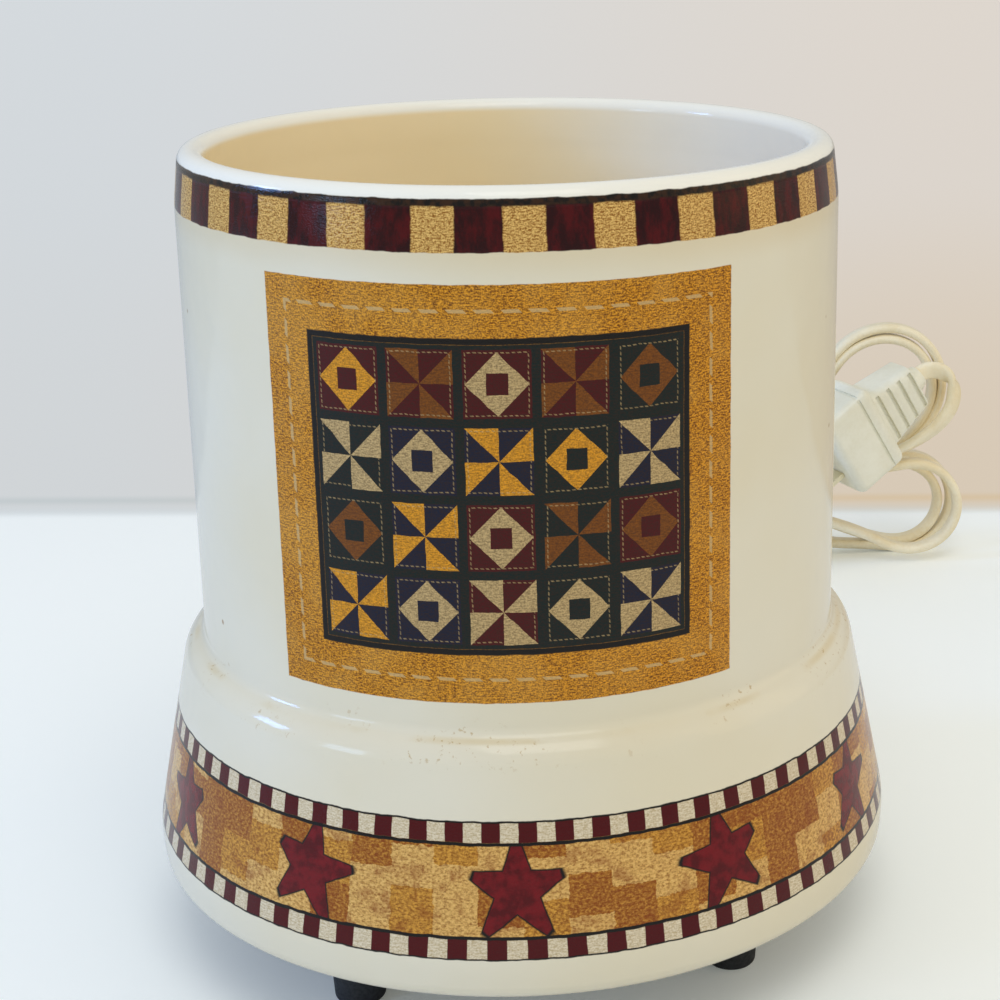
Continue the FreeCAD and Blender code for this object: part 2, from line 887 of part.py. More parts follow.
def cord_bushing():
    """Moulded bushing in the back wall with a ribbed, tapered bend relief."""
    inner = bushing_inner_y()
    level = outlet_level
    neck = rod(outlet_radius - outlet_clearance, vec(0, inner, level), vec(0, spot_face_y, level))
    collar = rod(bushing_collar_radius, vec(0, inner, level), vec(0, inner + bushing_collar_length, level))
    flange = rod(bushing_flange_radius, vec(0, spot_face_y, level), vec(0, bushing_outer_y, level))
    rim = [edge for edge in flange.Edges if edge.BoundBox.YMin > bushing_outer_y - 1e-3]
    flange = flange.makeFillet(0.9, rim)
    boot = cone(boot_root_radius, boot_tip_radius, vec(0, bushing_outer_y, level), vec(0, boot_tip_y, level))
    body = neck.fuse(collar).fuse(flange).fuse(boot)
    grooves = []
    pitch = boot_length / (boot_grooves + 1.5)
    for i in range(boot_grooves):
        start = bushing_outer_y + pitch * (i + 1)
        share = (start - bushing_outer_y) / boot_length
        core = boot_root_radius + (boot_tip_radius - boot_root_radius) * share - boot_groove_depth
        a = vec(0, start, level)
        b = vec(0, start + boot_groove_width, level)
        grooves.append(rod(boot_root_radius + 1, a, b).cut(rod(core, a, b)))
    return body.cut(group(grooves))


# ---------------------------------------------------------------- free cord
def cord_route():
    """Route of the cord from its bend relief down to the folded hank, point by point."""
    start = vec(0, boot_tip_y, outlet_level)
    end = vec(hank_left + hank_corner_cut / 2, hank_front + hank_corner_cut / 2, lead_lay)
    before_end = end - vec(lead_last_run, lead_last_run, 0) / math.sqrt(2.0)
    span = before_end.y - start.y
    drop = start.z - end.z
    middle = [(0.23, 0.38, 0.2), (0.73, 0.57, 0.56), (1.0, 0.78, 0.88)]
    points = [start, start + vec(0, lead_first_run, 0)]
    for sway, along, down in middle:
        points.append(start + vec(-sway * lead_sway, along * span, -down * drop))
    return points + [before_end, end]


def cord_lead():
    """The free cord between the bend relief and the hank."""
    return tube(cord_route(), cord_width / 2, "cord_lead")


def cord_hank():
    """Outer shape of the folded cord: a left lobe, the tied neck and the two right-hand loops."""
    left = hank_left
    right = hank_right
    top = hank_loop_height
    near = tie_start - hank_neck_gap
    far = tie_start + tie_width + hank_neck_gap
    spread = hank_neck_flare - hank_neck_gap
    outline = rounded_wire([
        (left, 0.0, 2.2),
        (near - spread, 0.0, hank_round),
        (near, tie_bottom, 4.0),
        (far, tie_bottom, 4.0),
        (far + spread, 0.0, 10.0),
        (right, 0.0, 4.0),
        (right, 0.13 * top, 6.0),
        (right - 7.0, pinch_height - 5.5, 6.0),
        (pinch_x, pinch_height, 2.0),
        (pinch_x + 8.0, pinch_height + 5.0, 5.0),
        (pinch_x + 10.5, 0.66 * top, hank_round),
        (pinch_x + 6.5, 0.875 * top, 10.0),
        (pinch_x - 6.0, top, hank_round),
        (pinch_x - 1.75 * hank_round, 0.94 * top, hank_round),
        (far, tie_top, 4.0),
        (near, tie_top, 4.0),
        (near - 2.0 * spread, hank_left_height + 3.0, hank_round),
        (left, hank_left_height, hank_round),
    ], lambda x, z: vec(x, hank_front, z))
    sheet = Part.Face(outline)
    low = box(left - 1, right + 1, hank_front, hank_front + hank_depth, -1, tie_top)
    body = sheet.extrude(vec(0, hank_upper_depth, 0)).fuse(sheet.extrude(vec(0, hank_depth, 0)).common(low))
    start = plug_point(grip_length + nub_length)
    strand = rod(cord_width / 2, start, plug_point(grip_length + nub_length + 1.4 * cord_width))
    body = body.cut(plug_envelope()).cut(hank_corner(left, hank_front))
    return body.fuse(strand).removeSplitter()


def hank_corner(x, y):
    """Wedge cut off the hank's front left edge, so that the lead meets it squarely."""
    cut = hank_corner_cut + 1.0
    first = vec(x - 1, y - 1, -1)
    corners = [first, vec(x + cut, y - 1, -1), vec(x - 1, y + cut, -1), first]
    return Part.Face(Part.makePolygon(corners)).extrude(vec(0, 0, 2 * hank_loop_height))


def cord_tie():
    """Wire tie round the neck of the hank."""
    t = tie_thickness
    outer = rounded_wire([
        (hank_front - t, tie_bottom - t, 2.0),
        (hank_front + hank_depth + t, tie_bottom - t, 2.0),
        (hank_front + hank_depth + t, tie_top + t, 2.0),
        (hank_front - t, tie_top + t, 2.0),
    ], lambda y, z: vec(tie_start, y, z))
    back = hank_front + hank_depth
    inner = box(tie_start - 1, tie_start + tie_width + 1, hank_front, back, tie_bottom, tie_top)
    return Part.Face(outer).extrude(vec(tie_width, 0, 0)).cut(inner)


# ---------------------------------------------------------------- plug
def plug_placement():
    """Plug's own frame: +X along its axis towards the cord, +Z across its width."""
    return FreeCAD.Placement(vec(plug_x, plug_y, plug_height), FreeCAD.Rotation(plug_swing, -plug_climb, 0))


def plug_point(along):
    """Point on the plug's axis."""
    return plug_placement().multVec(vec(along, 0, 0))


def plug_block():
    """Rounded block that the blades stand in."""
    y = plug_block_thickness / 2
    z = plug_block_width / 2
    block = box(-plug_block_length, 0, -y, y, -z, z)
    return block.makeFillet(plug_block_round, block.Edges)


def grip_section(x, width, thickness):
    """Rounded rectangle across the plug's axis."""
    y = thickness / 2
    z = width / 2
    corners = [(-y, -z, grip_round), (y, -z, grip_round), (y, z, grip_round), (-y, z, grip_round)]
    return rounded_wire(corners, lambda a, b: vec(x, a, b))


def grip_blank():
    """Tapered grip and the round nub that the cord comes out of."""
    share = plug_block_round / grip_length
    root_width = grip_width + (grip_width - grip_tip_width) * share
    root_thickness = grip_thickness + (grip_thickness - grip_tip_thickness) * share
    root = grip_section(-plug_block_round, root_width, root_thickness)
    tip = grip_section(grip_length, grip_tip_width, grip_tip_thickness)
    grip = Part.makeLoft([root, tip], True)
    nub = cone(nub_root_radius, nub_tip_radius, vec(grip_length, 0, 0), vec(grip_length + nub_length, 0, 0))
    return grip.fuse(nub)


def plug_envelope():
    """Block, grip and nub without their grooves, where the plug lies."""
    envelope = plug_block().fuse(grip_blank())
    envelope.Placement = plug_placement()
    return envelope


def plug_body():
    """Moulded plug: block, parting groove, ribbed grip and nub."""
    low = -plug_groove_at - plug_groove_width / 2
    high = low + plug_groove_width
    y = plug_block_thickness
    z = plug_block_width
    core_y = y / 2 - plug_groove_depth
    core_z = z / 2 - plug_groove_depth
    parting = box(low, high, -y, y, -z, z).cut(box(low, high, -core_y, core_y, -core_z, core_z))
    body = plug_block().cut(parting).fuse(grip_blank())
    grooves = []
    for i in range(grip_grooves):
        x = grip_groove_start + i * grip_groove_pitch
        share = x / grip_length
        surface = (grip_thickness + (grip_tip_thickness - grip_thickness) * share) / 2
        reach = (grip_width + (grip_tip_width - grip_width) * share) / 2 - 0.5 * grip_round
        for side in (-1, 1):
            near = side * (surface - grip_groove_depth)
            far = side * (surface + grip_round)
            grooves.append(box(x, x + grip_groove_width, min(near, far), max(near, far), -reach, reach))
    body = body.cut(group(grooves)).removeSplitter()
    body.Placement = plug_placement()
    return body


def plug_blade(side, width):
    """One flat blade with a hole near its tip and bevelled end."""
    half = blade_thickness / 2
    blade = rounded_wire([
        (-plug_block_length, -width / 2, 0),
        (-plug_block_length, width / 2, 0),
        (-plug_block_length - blade_length, width / 2, 1.4),
        (-plug_block_length - blade_length, -width / 2, 1.4),
    ], lambda x, y: vec(x, y, -half))
    solid = Part.Face(blade).extrude(vec(0, 0, blade_thickness))
    hole_x = -plug_block_length - blade_length + 4.0
    solid = solid.cut(rod(blade_hole_radius, vec(hole_x, 0, -2), vec(hole_x, 0, 2)))
    solid.translate(vec(0, 0, side * blade_spacing / 2))
    solid.Placement = plug_placement().multiply(solid.Placement)
    return solid


# ---------------------------------------------------------------- export
nodes = {
    "ceramic_housing": ceramic_housing(),
    "warmer_plate": warmer_plate(),
    "plate_gasket": plate_gasket(),
    "heat_spreader": heat_spreader(),
    "mica_upper": mica_sheet(mica_upper_bottom, False),
    "heating_ribbon": heating_ribbon(),
    "ribbon_board": ribbon_board(),
    "mica_lower": mica_sheet(mica_lower_bottom, True),
    "clamp_plate": clamp_plate(),
    "element_terminals": element_terminals(),
    "centre_rod": centre_rod(),
    "clamp_washer": washer(clamp_washer_bottom),
    "clamp_nut": rod_nut(clamp_nut_bottom),
    "shield_spacer": shield_spacer(),
    "heat_shield": heat_shield(),
    "shield_nut": rod_nut(shield_bottom - nut_height),
    "thermal_fuse": thermal_fuse(),
    "fuse_sleeve": fuse_sleeve(),
    "fuse_clip": fuse_clip(),
    "clip_rivets": clip_rivets(),
    "wire_terminal_to_fuse": wire_terminal_to_fuse(),
    "wire_fuse_to_splice": wire_fuse_to_splice(),
    "wire_terminal_to_splice": wire_terminal_to_splice(),
    "splice_live": splice(-1),
    "splice_neutral": splice(1),
    "cord_tail": cord_tail(),
    "cord_bushing": cord_bushing(),
    "base_cover": base_cover(),
    "cover_gasket": cover_gasket(),
    "foot_screws": foot_screws(),
    "foot_nuts": foot_nuts(),
    "base_washer": washer(base_washer_bottom),
    "base_nut": rod_nut(base_nut_bottom),
    "cord_lead": cord_lead(),
    "cord_hank": cord_hank(),
    "cord_tie": cord_tie(),
    "plug_body": plug_body(),
    "plug_blade_wide": plug_blade(-1, wide_blade_width),
    "plug_blade_narrow": plug_blade(1, narrow_blade_width),
}
for number, foot_azimuth in enumerate(foot_azimuths(), 1):
    nodes["rubber_foot_" + str(number)] = rubber_foot(foot_azimuth)

for name, shape in nodes.items():
    if not shape.isValid():
        print("invalid shape:", name)
    shape.exportStep("parts/" + name + ".step")
    print(name, len(shape.Solids), "solids", round(shape.Volume / 1000.0, 2), "cm3")
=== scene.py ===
"""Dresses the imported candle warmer: glazed crock with printed bands, hot plate, underside and cord.

Lengths in the classes are millimetres, as in the part's source, and become metres when a mesh
is made. The decorated front faces -Y. Azimuths are counted from -Y towards +X, in degrees.
"""

import logging
import math
from dataclasses import dataclass
from enum import Enum
from typing import Callable, Sequence, Union

import bmesh
import bpy
from mathutils import Matrix, Vector

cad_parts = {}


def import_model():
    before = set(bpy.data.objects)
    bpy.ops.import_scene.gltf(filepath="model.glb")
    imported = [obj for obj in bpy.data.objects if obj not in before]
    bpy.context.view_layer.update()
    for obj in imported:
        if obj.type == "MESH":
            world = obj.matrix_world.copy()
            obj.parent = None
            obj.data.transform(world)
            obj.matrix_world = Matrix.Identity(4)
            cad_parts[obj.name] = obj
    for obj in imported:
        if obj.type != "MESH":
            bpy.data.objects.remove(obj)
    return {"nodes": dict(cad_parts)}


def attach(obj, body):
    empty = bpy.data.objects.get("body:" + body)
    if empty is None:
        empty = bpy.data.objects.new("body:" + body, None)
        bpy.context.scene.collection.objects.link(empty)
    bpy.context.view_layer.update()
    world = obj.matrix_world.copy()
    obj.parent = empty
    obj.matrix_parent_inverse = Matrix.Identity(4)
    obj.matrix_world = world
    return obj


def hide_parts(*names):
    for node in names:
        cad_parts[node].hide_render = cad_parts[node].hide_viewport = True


log = logging.getLogger("candle_warmer")
Triple = tuple[float, float, float]
Colour = Triple
Piece = bpy.types.Object

MM = 0.001  # metres in a millimetre
WELD = 1e-6  # metres; points nearer than this become one
CUT_WELD = 5e-6  # the same after a cut, which can leave slivers
CRISP_DEGREES = 35.0  # edges that turn more than this stay crisp
FACET_DEGREES = 11.0  # turn of a rounded corner that one facet takes
DEGREE = math.pi / 180.0
NODES: dict[str, Piece] = {}  # the CAD nodes of the frame, filled by main


def srgb(red: int, green: int, blue: int) -> Colour:
    """Linear colour of three display values from 0 to 255."""
    shares = [value / 255.0 for value in (red, green, blue)]
    return tuple(s / 12.92 if s <= 0.04045 else ((s + 0.055) / 1.055) ** 2.4 for s in shares)


# --- shader maths
def operation(kind: str, swapped: bool = False) -> Callable[..., "Signal"]:
    """Makes a method of Signal that adds one Math node.

    Args:
        kind: what the node does.
        swapped: whether the signal goes in last, as a reflected operator needs.

    Returns:
        The method.
    """
    def method(self: "Signal", *others: "Operand") -> "Signal":
        """Adds the node."""
        inputs = [*others, self] if swapped else [self, *others]
        return self.graph.node("ShaderNodeMath", {"operation": kind}, inputs)
    return method


class Signal:
    """A socket that carries a value or a vector, with Python's operators.

    The comparisons give masks of 0 and 1; high and low join masks as either and both.
    """

    __add__ = __radd__ = operation("ADD")
    __sub__ = operation("SUBTRACT")
    __rsub__ = operation("SUBTRACT", swapped=True)
    __mul__ = __rmul__ = operation("MULTIPLY")
    __truediv__ = operation("DIVIDE")
    __abs__ = operation("ABSOLUTE")
    __gt__ = operation("GREATER_THAN")
    __lt__ = operation("LESS_THAN")
    high = operation("MAXIMUM")
    low = operation("MINIMUM")
    floor = operation("FLOOR")
    frac = operation("FRACT")
    root = operation("SQRT")
    sine = operation("SINE")
    cosine = operation("COSINE")
    bearing = operation("ARCTAN2")

    def __init__(self, graph: "Graph", socket: bpy.types.NodeSocket) -> None:
        """Keeps the graph that new nodes go into, and the socket."""
        self.graph = graph
        self.socket = socket

    def __neg__(self) -> "Signal":
        """Negative."""
        return self * -1.0

    def hypot(self, other: "Signal") -> "Signal":
        """Length of the line with these two sides."""
        return (self * self + other * other).root()

    def ramp(self, start: float, end: float, low: float = 0.0, high: float = 1.0) -> "Signal":
        """Smooth step from low at start to high at end."""
        settings = {"interpolation_type": "SMOOTHSTEP"}
        return self.graph.node("ShaderNodeMapRange", settings, [self, start, end, low, high])

    def within(self, low: float, high: float, soft: float) -> "Signal":
        """1 between two values, with soft sides."""
        rise = self.ramp(low - soft, low + soft)
        return rise * self.ramp(high + soft, high - soft)


Operand = Union[Signal, float, Sequence[float]]


class Graph:
    """Node tree of one material."""

    def __init__(self, name: str) -> None:
        """Makes a material of this name, with its shader."""
        self.material = bpy.data.materials.new(name)
        self.material.use_nodes = True
        self.nodes = self.material.node_tree.nodes
        self.links = self.material.node_tree.links
        self.shader = self.nodes["Principled BSDF"]

    def node(self, kind: str, settings: dict, inputs: Union[list, dict],
             out: Union[int, str] = 0) -> Signal:
        """Adds one node.

        Args:
            kind: type of the node.
            settings: properties, set before the sockets.
            inputs: values or signals, by order or by socket name or number.
            out: the output socket to give back.

        Returns:
            The signal of that output.
        """
        node = self.nodes.new(kind)
        for key, value in settings.items():
            setattr(node, key, value)
        pairs = inputs.items() if isinstance(inputs, dict) else enumerate(inputs)
        for key, value in pairs:
            if isinstance(value, Signal):
                self.links.new(value.socket, node.inputs[key])
            else:
                node.inputs[key].default_value = value
        return Signal(self, node.outputs[out])

    def place(self) -> Signal:
        """Object coordinates in millimetres."""
        raw = self.node("ShaderNodeTexCoord", {}, {}, "Object")
        return self.vector("SCALE", raw, 1.0 / MM)

    def vector(self, kind: str, first: Operand, second: Operand) -> Signal:
        """Vector Math of a vector with a vector or a scale."""
        inputs = {0: first, 3 if kind == "SCALE" else 1: second}
        return self.node("ShaderNodeVectorMath", {"operation": kind}, inputs)

    def split(self, vector: Signal) -> tuple[Signal, Signal, Signal]:
        """The three parts of a vector."""
        made = self.node("ShaderNodeSeparateXYZ", {}, [vector])
        return tuple(Signal(self, socket) for socket in made.socket.node.outputs)

    def join(self, x: Operand, y: Operand, z: Operand = 0.0) -> Signal:
        """A vector of three values."""
        return self.node("ShaderNodeCombineXYZ", {}, [x, y, z])

    def noise(self, vector: Signal, scale: float, detail: float = 2.0,
              rough: float = 0.5) -> Signal:
        """Noise with an even spread about 0.5."""
        inputs = {"Vector": vector, "Scale": scale, "Detail": detail, "Roughness": rough}
        return self.node("ShaderNodeTexNoise", {}, inputs)

    def chance(self, vector: Signal) -> Signal:
        """One random value for each whole-numbered vector."""
        return self.node("ShaderNodeTexWhiteNoise", {}, {"Vector": vector})

    def mix(self, share: Operand, *ends: Union[Signal, Colour]) -> Signal:
        """Colour that goes from the first end to the second as share goes from 0 to 1."""
        first, second = [end if isinstance(end, Signal) else (*end, 1.0) for end in ends]
        return self.node("ShaderNodeMix", {"data_type": "RGBA"}, {0: share, 6: first, 7: second}, 2)

    def choose(self, value: Signal, colours: Sequence[Colour]) -> Signal:
        """One of several colours, by equal shares of a value from 0 to 1."""
        made = self.node("ShaderNodeValToRGB", {}, [value])
        ramp = made.socket.node.color_ramp
        while len(ramp.elements) < len(colours):
            ramp.elements.new(0.5)
        for i, (element, colour) in enumerate(zip(ramp.elements, colours)):
            element.position = i / len(colours)
            element.color = (*colour, 1.0)
        ramp.interpolation = "CONSTANT"
        return made

    def bump(self, height: Signal, depth_mm: float) -> None:
        """Feeds the shader's normal from a height of 0 to 1 and the depth of a full step."""
        inputs = {"Strength": 1.0, "Distance": depth_mm * MM, "Height": height}
        self.feed("Normal", self.node("ShaderNodeBump", {}, inputs))

    def feed(self, name: str, signal: Signal) -> None:
        """Links a signal to one of the shader's sockets."""
        self.links.new(signal.socket, self.shader.inputs[name])

    def fix(self, **values: float) -> None:
        """Sets constants on the shader's own sockets, underscores standing for spaces."""
        for key, value in values.items():
            self.shader.inputs[key.replace("_", " ")].default_value = value


# --- plain finishes
@dataclass(frozen=True)
class Finish:
    """A named surface finish."""

    name: str

    def paint(self, graph: Graph) -> None:
        """Builds the nodes; each finish has its own."""
        raise NotImplementedError

    def material(self) -> bpy.types.Material:
        """The finish's material, made once."""
        found = bpy.data.materials.get(self.name)
        if found is None:
            graph = Graph(self.name)
            self.paint(graph)
            found = graph.material
        return found


@dataclass(frozen=True)
class MouldedPlastic(Finish):
    """Glossy or satin moulding with faint mottling and handling marks."""

    light: Colour
    dark: Colour
    roughness: float = 0.38
    grain_mm: float = 0.7
    depth_mm: float = 0.02

    def paint(self, graph: Graph) -> None:
        """Base colour, roughness and a fine grain."""
        place = graph.place()
        cloud = graph.noise(place, 0.06, 3.0, 0.6)
        speck = graph.noise(place, 1.0 / self.grain_mm, 2.0)
        shade = (cloud * 0.75 + speck * 0.25).ramp(0.3, 0.7)
        graph.feed("Base Color", graph.mix(shade, self.dark, self.light))
        graph.feed("Roughness", speck.ramp(0.2, 0.8, self.roughness - 0.06, self.roughness + 0.08))
        graph.bump(speck, self.depth_mm)


@dataclass(frozen=True)
class TurnedMetal(Finish):
    """Metal with turning lines round Z, smudges and dulled patches."""

    light: Colour
    dark: Colour
    roughness: float = 0.3
    line_mm: float = 0.35
    depth_mm: float = 0.02

    def paint(self, graph: Graph) -> None:
        """Colour, roughness and fine rings."""
        place = graph.place()
        x, y, z = graph.split(place)
        rings = graph.noise(graph.join(x.hypot(y) / self.line_mm, z / self.line_mm), 1.0, 2.0)
        smudge = graph.noise(place, 0.09, 4.0, 0.6)
        shade = (rings * 0.5 + smudge * 0.5).ramp(0.3, 0.7)
        graph.feed("Base Color", graph.mix(shade, self.dark, self.light))
        graph.feed("Roughness", smudge.ramp(0.3, 0.75, self.roughness, self.roughness + 0.22))
        graph.fix(Metallic=1.0)
        graph.bump(rings, self.depth_mm)


@dataclass(frozen=True)
class PlatedMetal(Finish):
    """Plated or rolled metal with drawn streaks and dull spots."""

    light: Colour
    dark: Colour
    roughness: float = 0.3
    drawn: Triple = (0.12, 2.4, 2.4)
    depth_mm: float = 0.015

    def paint(self, graph: Graph) -> None:
        """Streaks along X and spots."""
        place = graph.place()
        streak = graph.noise(graph.vector("MULTIPLY", place, self.drawn), 1.0, 3.0)
        spot = graph.noise(place, 0.35, 3.0, 0.6)
        shade = (streak * 0.5 + spot * 0.5).ramp(0.3, 0.7)
        graph.feed("Base Color", graph.mix(shade, self.dark, self.light))
        graph.feed("Roughness", spot.ramp(0.3, 0.7, self.roughness, self.roughness + 0.2))
        graph.fix(Metallic=1.0)
        graph.bump(streak, self.depth_mm)


@dataclass(frozen=True)
class FleckedSheet(Finish):
    """Sheet or fibre stock with flecks: mica, gasket board, sleeving, rubber, paint."""

    light: Colour
    dark: Colour
    fleck_mm: float = 1.2
    roughness: float = 0.7
    depth_mm: float = 0.06
    stretch: Triple = (1.0, 1.0, 1.0)

    def paint(self, graph: Graph) -> None:
        """Flecks in colour, roughness and height."""
        place = graph.vector("MULTIPLY", graph.place(), self.stretch)
        fleck = graph.noise(place, 1.0 / self.fleck_mm, 4.0, 0.65)
        cloud = graph.noise(place, 0.07, 2.0)
        shade = (fleck * 0.7 + cloud * 0.3).ramp(0.33, 0.67)
        graph.feed("Base Color", graph.mix(shade, self.dark, self.light))
        graph.feed("Roughness", fleck.ramp(0.2, 0.8, self.roughness + 0.1, self.roughness - 0.12))
        graph.bump(fleck, self.depth_mm)


# --- printed glaze
BODY_RADIUS = 62.5
SKIRT_RADIUS = 71.0
OUTER_FACE = 59.9  # radius that parts the outer face from the well's wall
WELL_FACE = 58.5
MAROON = srgb(76, 2, 5)
LINE = srgb(20, 15, 10)
CREAM = srgb(202, 172, 118)
TAN = srgb(128, 72, 12)
GOLD = srgb(228, 156, 34)
GREEN = srgb(6, 28, 25)


@dataclass(frozen=True)
class Spot:
    """Signals that say where on the crock a point lies, and how unsteady the print is there."""

    place: Signal
    x: Signal
    z: Signal
    radius: Signal
    azimuth: Signal
    wobble: Signal
    grain: Signal
    outside: Signal
    inside: Signal

    @staticmethod
    def read(graph: Graph) -> "Spot":
        """Builds the signals; wobble runs from -0.5 to 0.5 and the woven grain from 0 to 1."""
        place = graph.place()
        x, y, z = graph.split(place)
        azimuth = x.bearing(-y) * (1.0 / DEGREE)
        arc = azimuth * (BODY_RADIUS * DEGREE)
        threads = graph.noise(graph.join(arc * 1.15, z * 3.6), 1.0, 2.0, 0.6)
        grit = graph.noise(graph.join(arc * 3.4, z * 3.4, 7.0), 1.0, 1.0)
        grain = (threads * 0.55 + grit * 0.45).ramp(0.35, 0.65)
        wobble = graph.noise(place, 0.35, 2.0) - 0.5
        radius = x.hypot(y)
        outside, inside = radius > OUTER_FACE, radius < WELL_FACE
        return Spot(place, x, z, radius, azimuth, wobble, grain, outside, inside)


@dataclass(frozen=True)
class Blocks:
    """Dark and pale blocks in a row that goes right round; the phase is a dark one's azimuth."""

    pairs: int
    phase: float
    dark_share: float = 0.5
    sway: float = 0.3
    soft: float = 0.012

    def dark(self, spot: Spot) -> Signal:
        """1 on the dark blocks."""
        turn = spot.azimuth + spot.wobble * self.sway - self.phase
        side = abs((turn * (self.pairs / 360.0) + 0.5).frac() - 0.5)
        return side.ramp(self.dark_share / 2 + self.soft, self.dark_share / 2 - self.soft)


@dataclass(frozen=True)
class Print:
    """One printed field of the crock."""

    face: float = OUTER_FACE
    waver: float = 0.5

    def lay(self, graph: Graph, spot: Spot) -> tuple[Signal, Signal]:
        """The field's colour and its mask; it lies where the radius is over the face's."""
        raise NotImplementedError


@dataclass(frozen=True)
class RimBand(Print):
    """Cloth and maroon blocks under the lip, with a worn dark line above."""

    low: float = 147.8
    line: float = 155.0
    high: float = 156.4
    blocks: Blocks = Blocks(26, -4.8, 0.53, 0.6)
    cloth_light: Colour = srgb(234, 192, 112)
    cloth_dark: Colour = srgb(140, 88, 26)
    maroon_dark: Colour = srgb(40, 0, 1)
    line_worn: Colour = srgb(54, 32, 16)

    def lay(self, graph: Graph, spot: Spot) -> tuple[Signal, Signal]:
        """The band's colour and its mask."""
        level = spot.z + spot.wobble * self.waver
        cloth = graph.mix(spot.grain, self.cloth_dark, self.cloth_light)
        drawn = graph.vector("MULTIPLY", spot.place, (0.5, 0.5, 0.2))
        cloud = graph.noise(drawn, 1.0, 4.0, 0.65)
        maroon = graph.mix(cloud.ramp(0.38, 0.66), self.maroon_dark, MAROON)
        colour = graph.mix(self.blocks.dark(spot), cloth, maroon)
        worn = graph.noise(spot.place, 0.8, 3.0).ramp(0.35, 0.6)
        line = graph.mix(worn, LINE, self.line_worn)
        colour = graph.mix(level.ramp(self.line, self.line + 0.4), colour, line)
        return colour, level.within(self.low, self.high, 0.12)


@dataclass(frozen=True)
class FrontPanel(Print):
    """Linen-bordered quilt of pinwheels and squares on point."""

    waver: float = 0.3
    centre: float = -2.6
    half_width: float = 42.4
    low: float = 69.3
    high: float = 142.6
    border: float = 10.0
    columns: int = 5
    rows: int = 4
    on_point: float = 0.41
    core: float = 0.14
    sashing: float = 0.44
    stitches: tuple[float, float] = (0.395, 0.41)
    frame: tuple[float, float] = (0.0, 1.1)
    dashes: tuple[float, float] = (5.3, 5.9)
    gold_dark: Colour = srgb(96, 46, 0)
    faded: Colour = srgb(230, 182, 92)
    navy: Colour = srgb(14, 23, 46)
    brown: Colour = srgb(48, 26, 12)

    def lay(self, graph: Graph, spot: Spot) -> tuple[Signal, Signal]:
        """The panel's colour and its mask."""
        half_height = (self.high - self.low) / 2
        across = (spot.azimuth - self.centre) * (BODY_RADIUS * DEGREE)
        up = spot.z - (self.low + self.high) / 2
        shake = spot.wobble * self.waver
        mask = abs(across + shake).ramp(self.half_width + 0.1, self.half_width - 0.1)
        mask = mask * abs(up + shake).ramp(half_height + 0.1, half_height - 0.1)
        width, height = self.half_width - self.border, half_height - self.border
        past = (abs(across) - width).high(abs(up) - height) + shake
        quilt = self.quilt(graph, spot, across / (2 * width), up / (2 * height))
        linen = graph.mix(spot.grain, self.gold_dark, GOLD)
        fade = graph.noise(graph.join(across, up, 3.0), 0.12, 3.0).ramp(0.35, 0.65)
        linen = graph.mix(fade * 0.16, linen, self.faded)
        colour = graph.mix(past.ramp(-0.1, 0.1), quilt, linen)
        colour = graph.mix(past.within(*self.frame, 0.12), colour, LINE)
        gaps = ((across + up) * 0.22).frac() > 0.35
        colour = graph.mix(past.within(*self.dashes, 0.1) * gaps * 0.7, colour, CREAM)
        return colour, mask

    def quilt(self, graph: Graph, spot: Spot, across: Signal, up: Signal) -> Signal:
        """Colour of the quilt's blocks.

        Args:
            graph: the material in hand.
            spot: where the point lies.
            across: place across the quilt, from -0.5 to 0.5.
            up: place up the quilt, from -0.5 to 0.5.

        Returns:
            The colour, with the sashing, the stitches and the weave.
        """
        shake = spot.wobble * 0.03
        column = across * self.columns + self.columns / 2 + shake
        row = up * self.rows + self.rows / 2 + shake
        a, b = column.frac() - 0.5, row.frac() - 0.5
        column, row = column.floor(), row.floor()
        reach = abs(a).high(abs(b))
        vanes = abs((a * b > 0.0) - (abs(a) > abs(b)))
        cell, other = graph.join(column, row), graph.join(column, row, 5.0)
        deep = (self.navy, MAROON, GREEN, self.navy, GREEN, MAROON)
        deep = graph.choose(graph.chance(cell), deep)
        pale = graph.choose(graph.chance(other), (CREAM, TAN, GOLD))
        pinwheel = graph.mix(vanes, pale, deep)
        square = graph.mix(abs(a) + abs(b) < self.on_point, deep, pale)
        square = graph.mix(reach < self.core, square, deep)
        odd = ((column + row) * 0.5).frac() > 0.25
        quilt = graph.mix(odd, pinwheel, square)
        quilt = graph.mix(reach > self.sashing, quilt, GREEN)
        thread = reach.within(*self.stitches, 0.006) * (((a + b) * 14.0).frac() > 0.4)
        quilt = graph.mix(thread * 0.6, quilt, CREAM)
        return graph.mix((1.0 - spot.grain) * 0.6, quilt, self.brown)


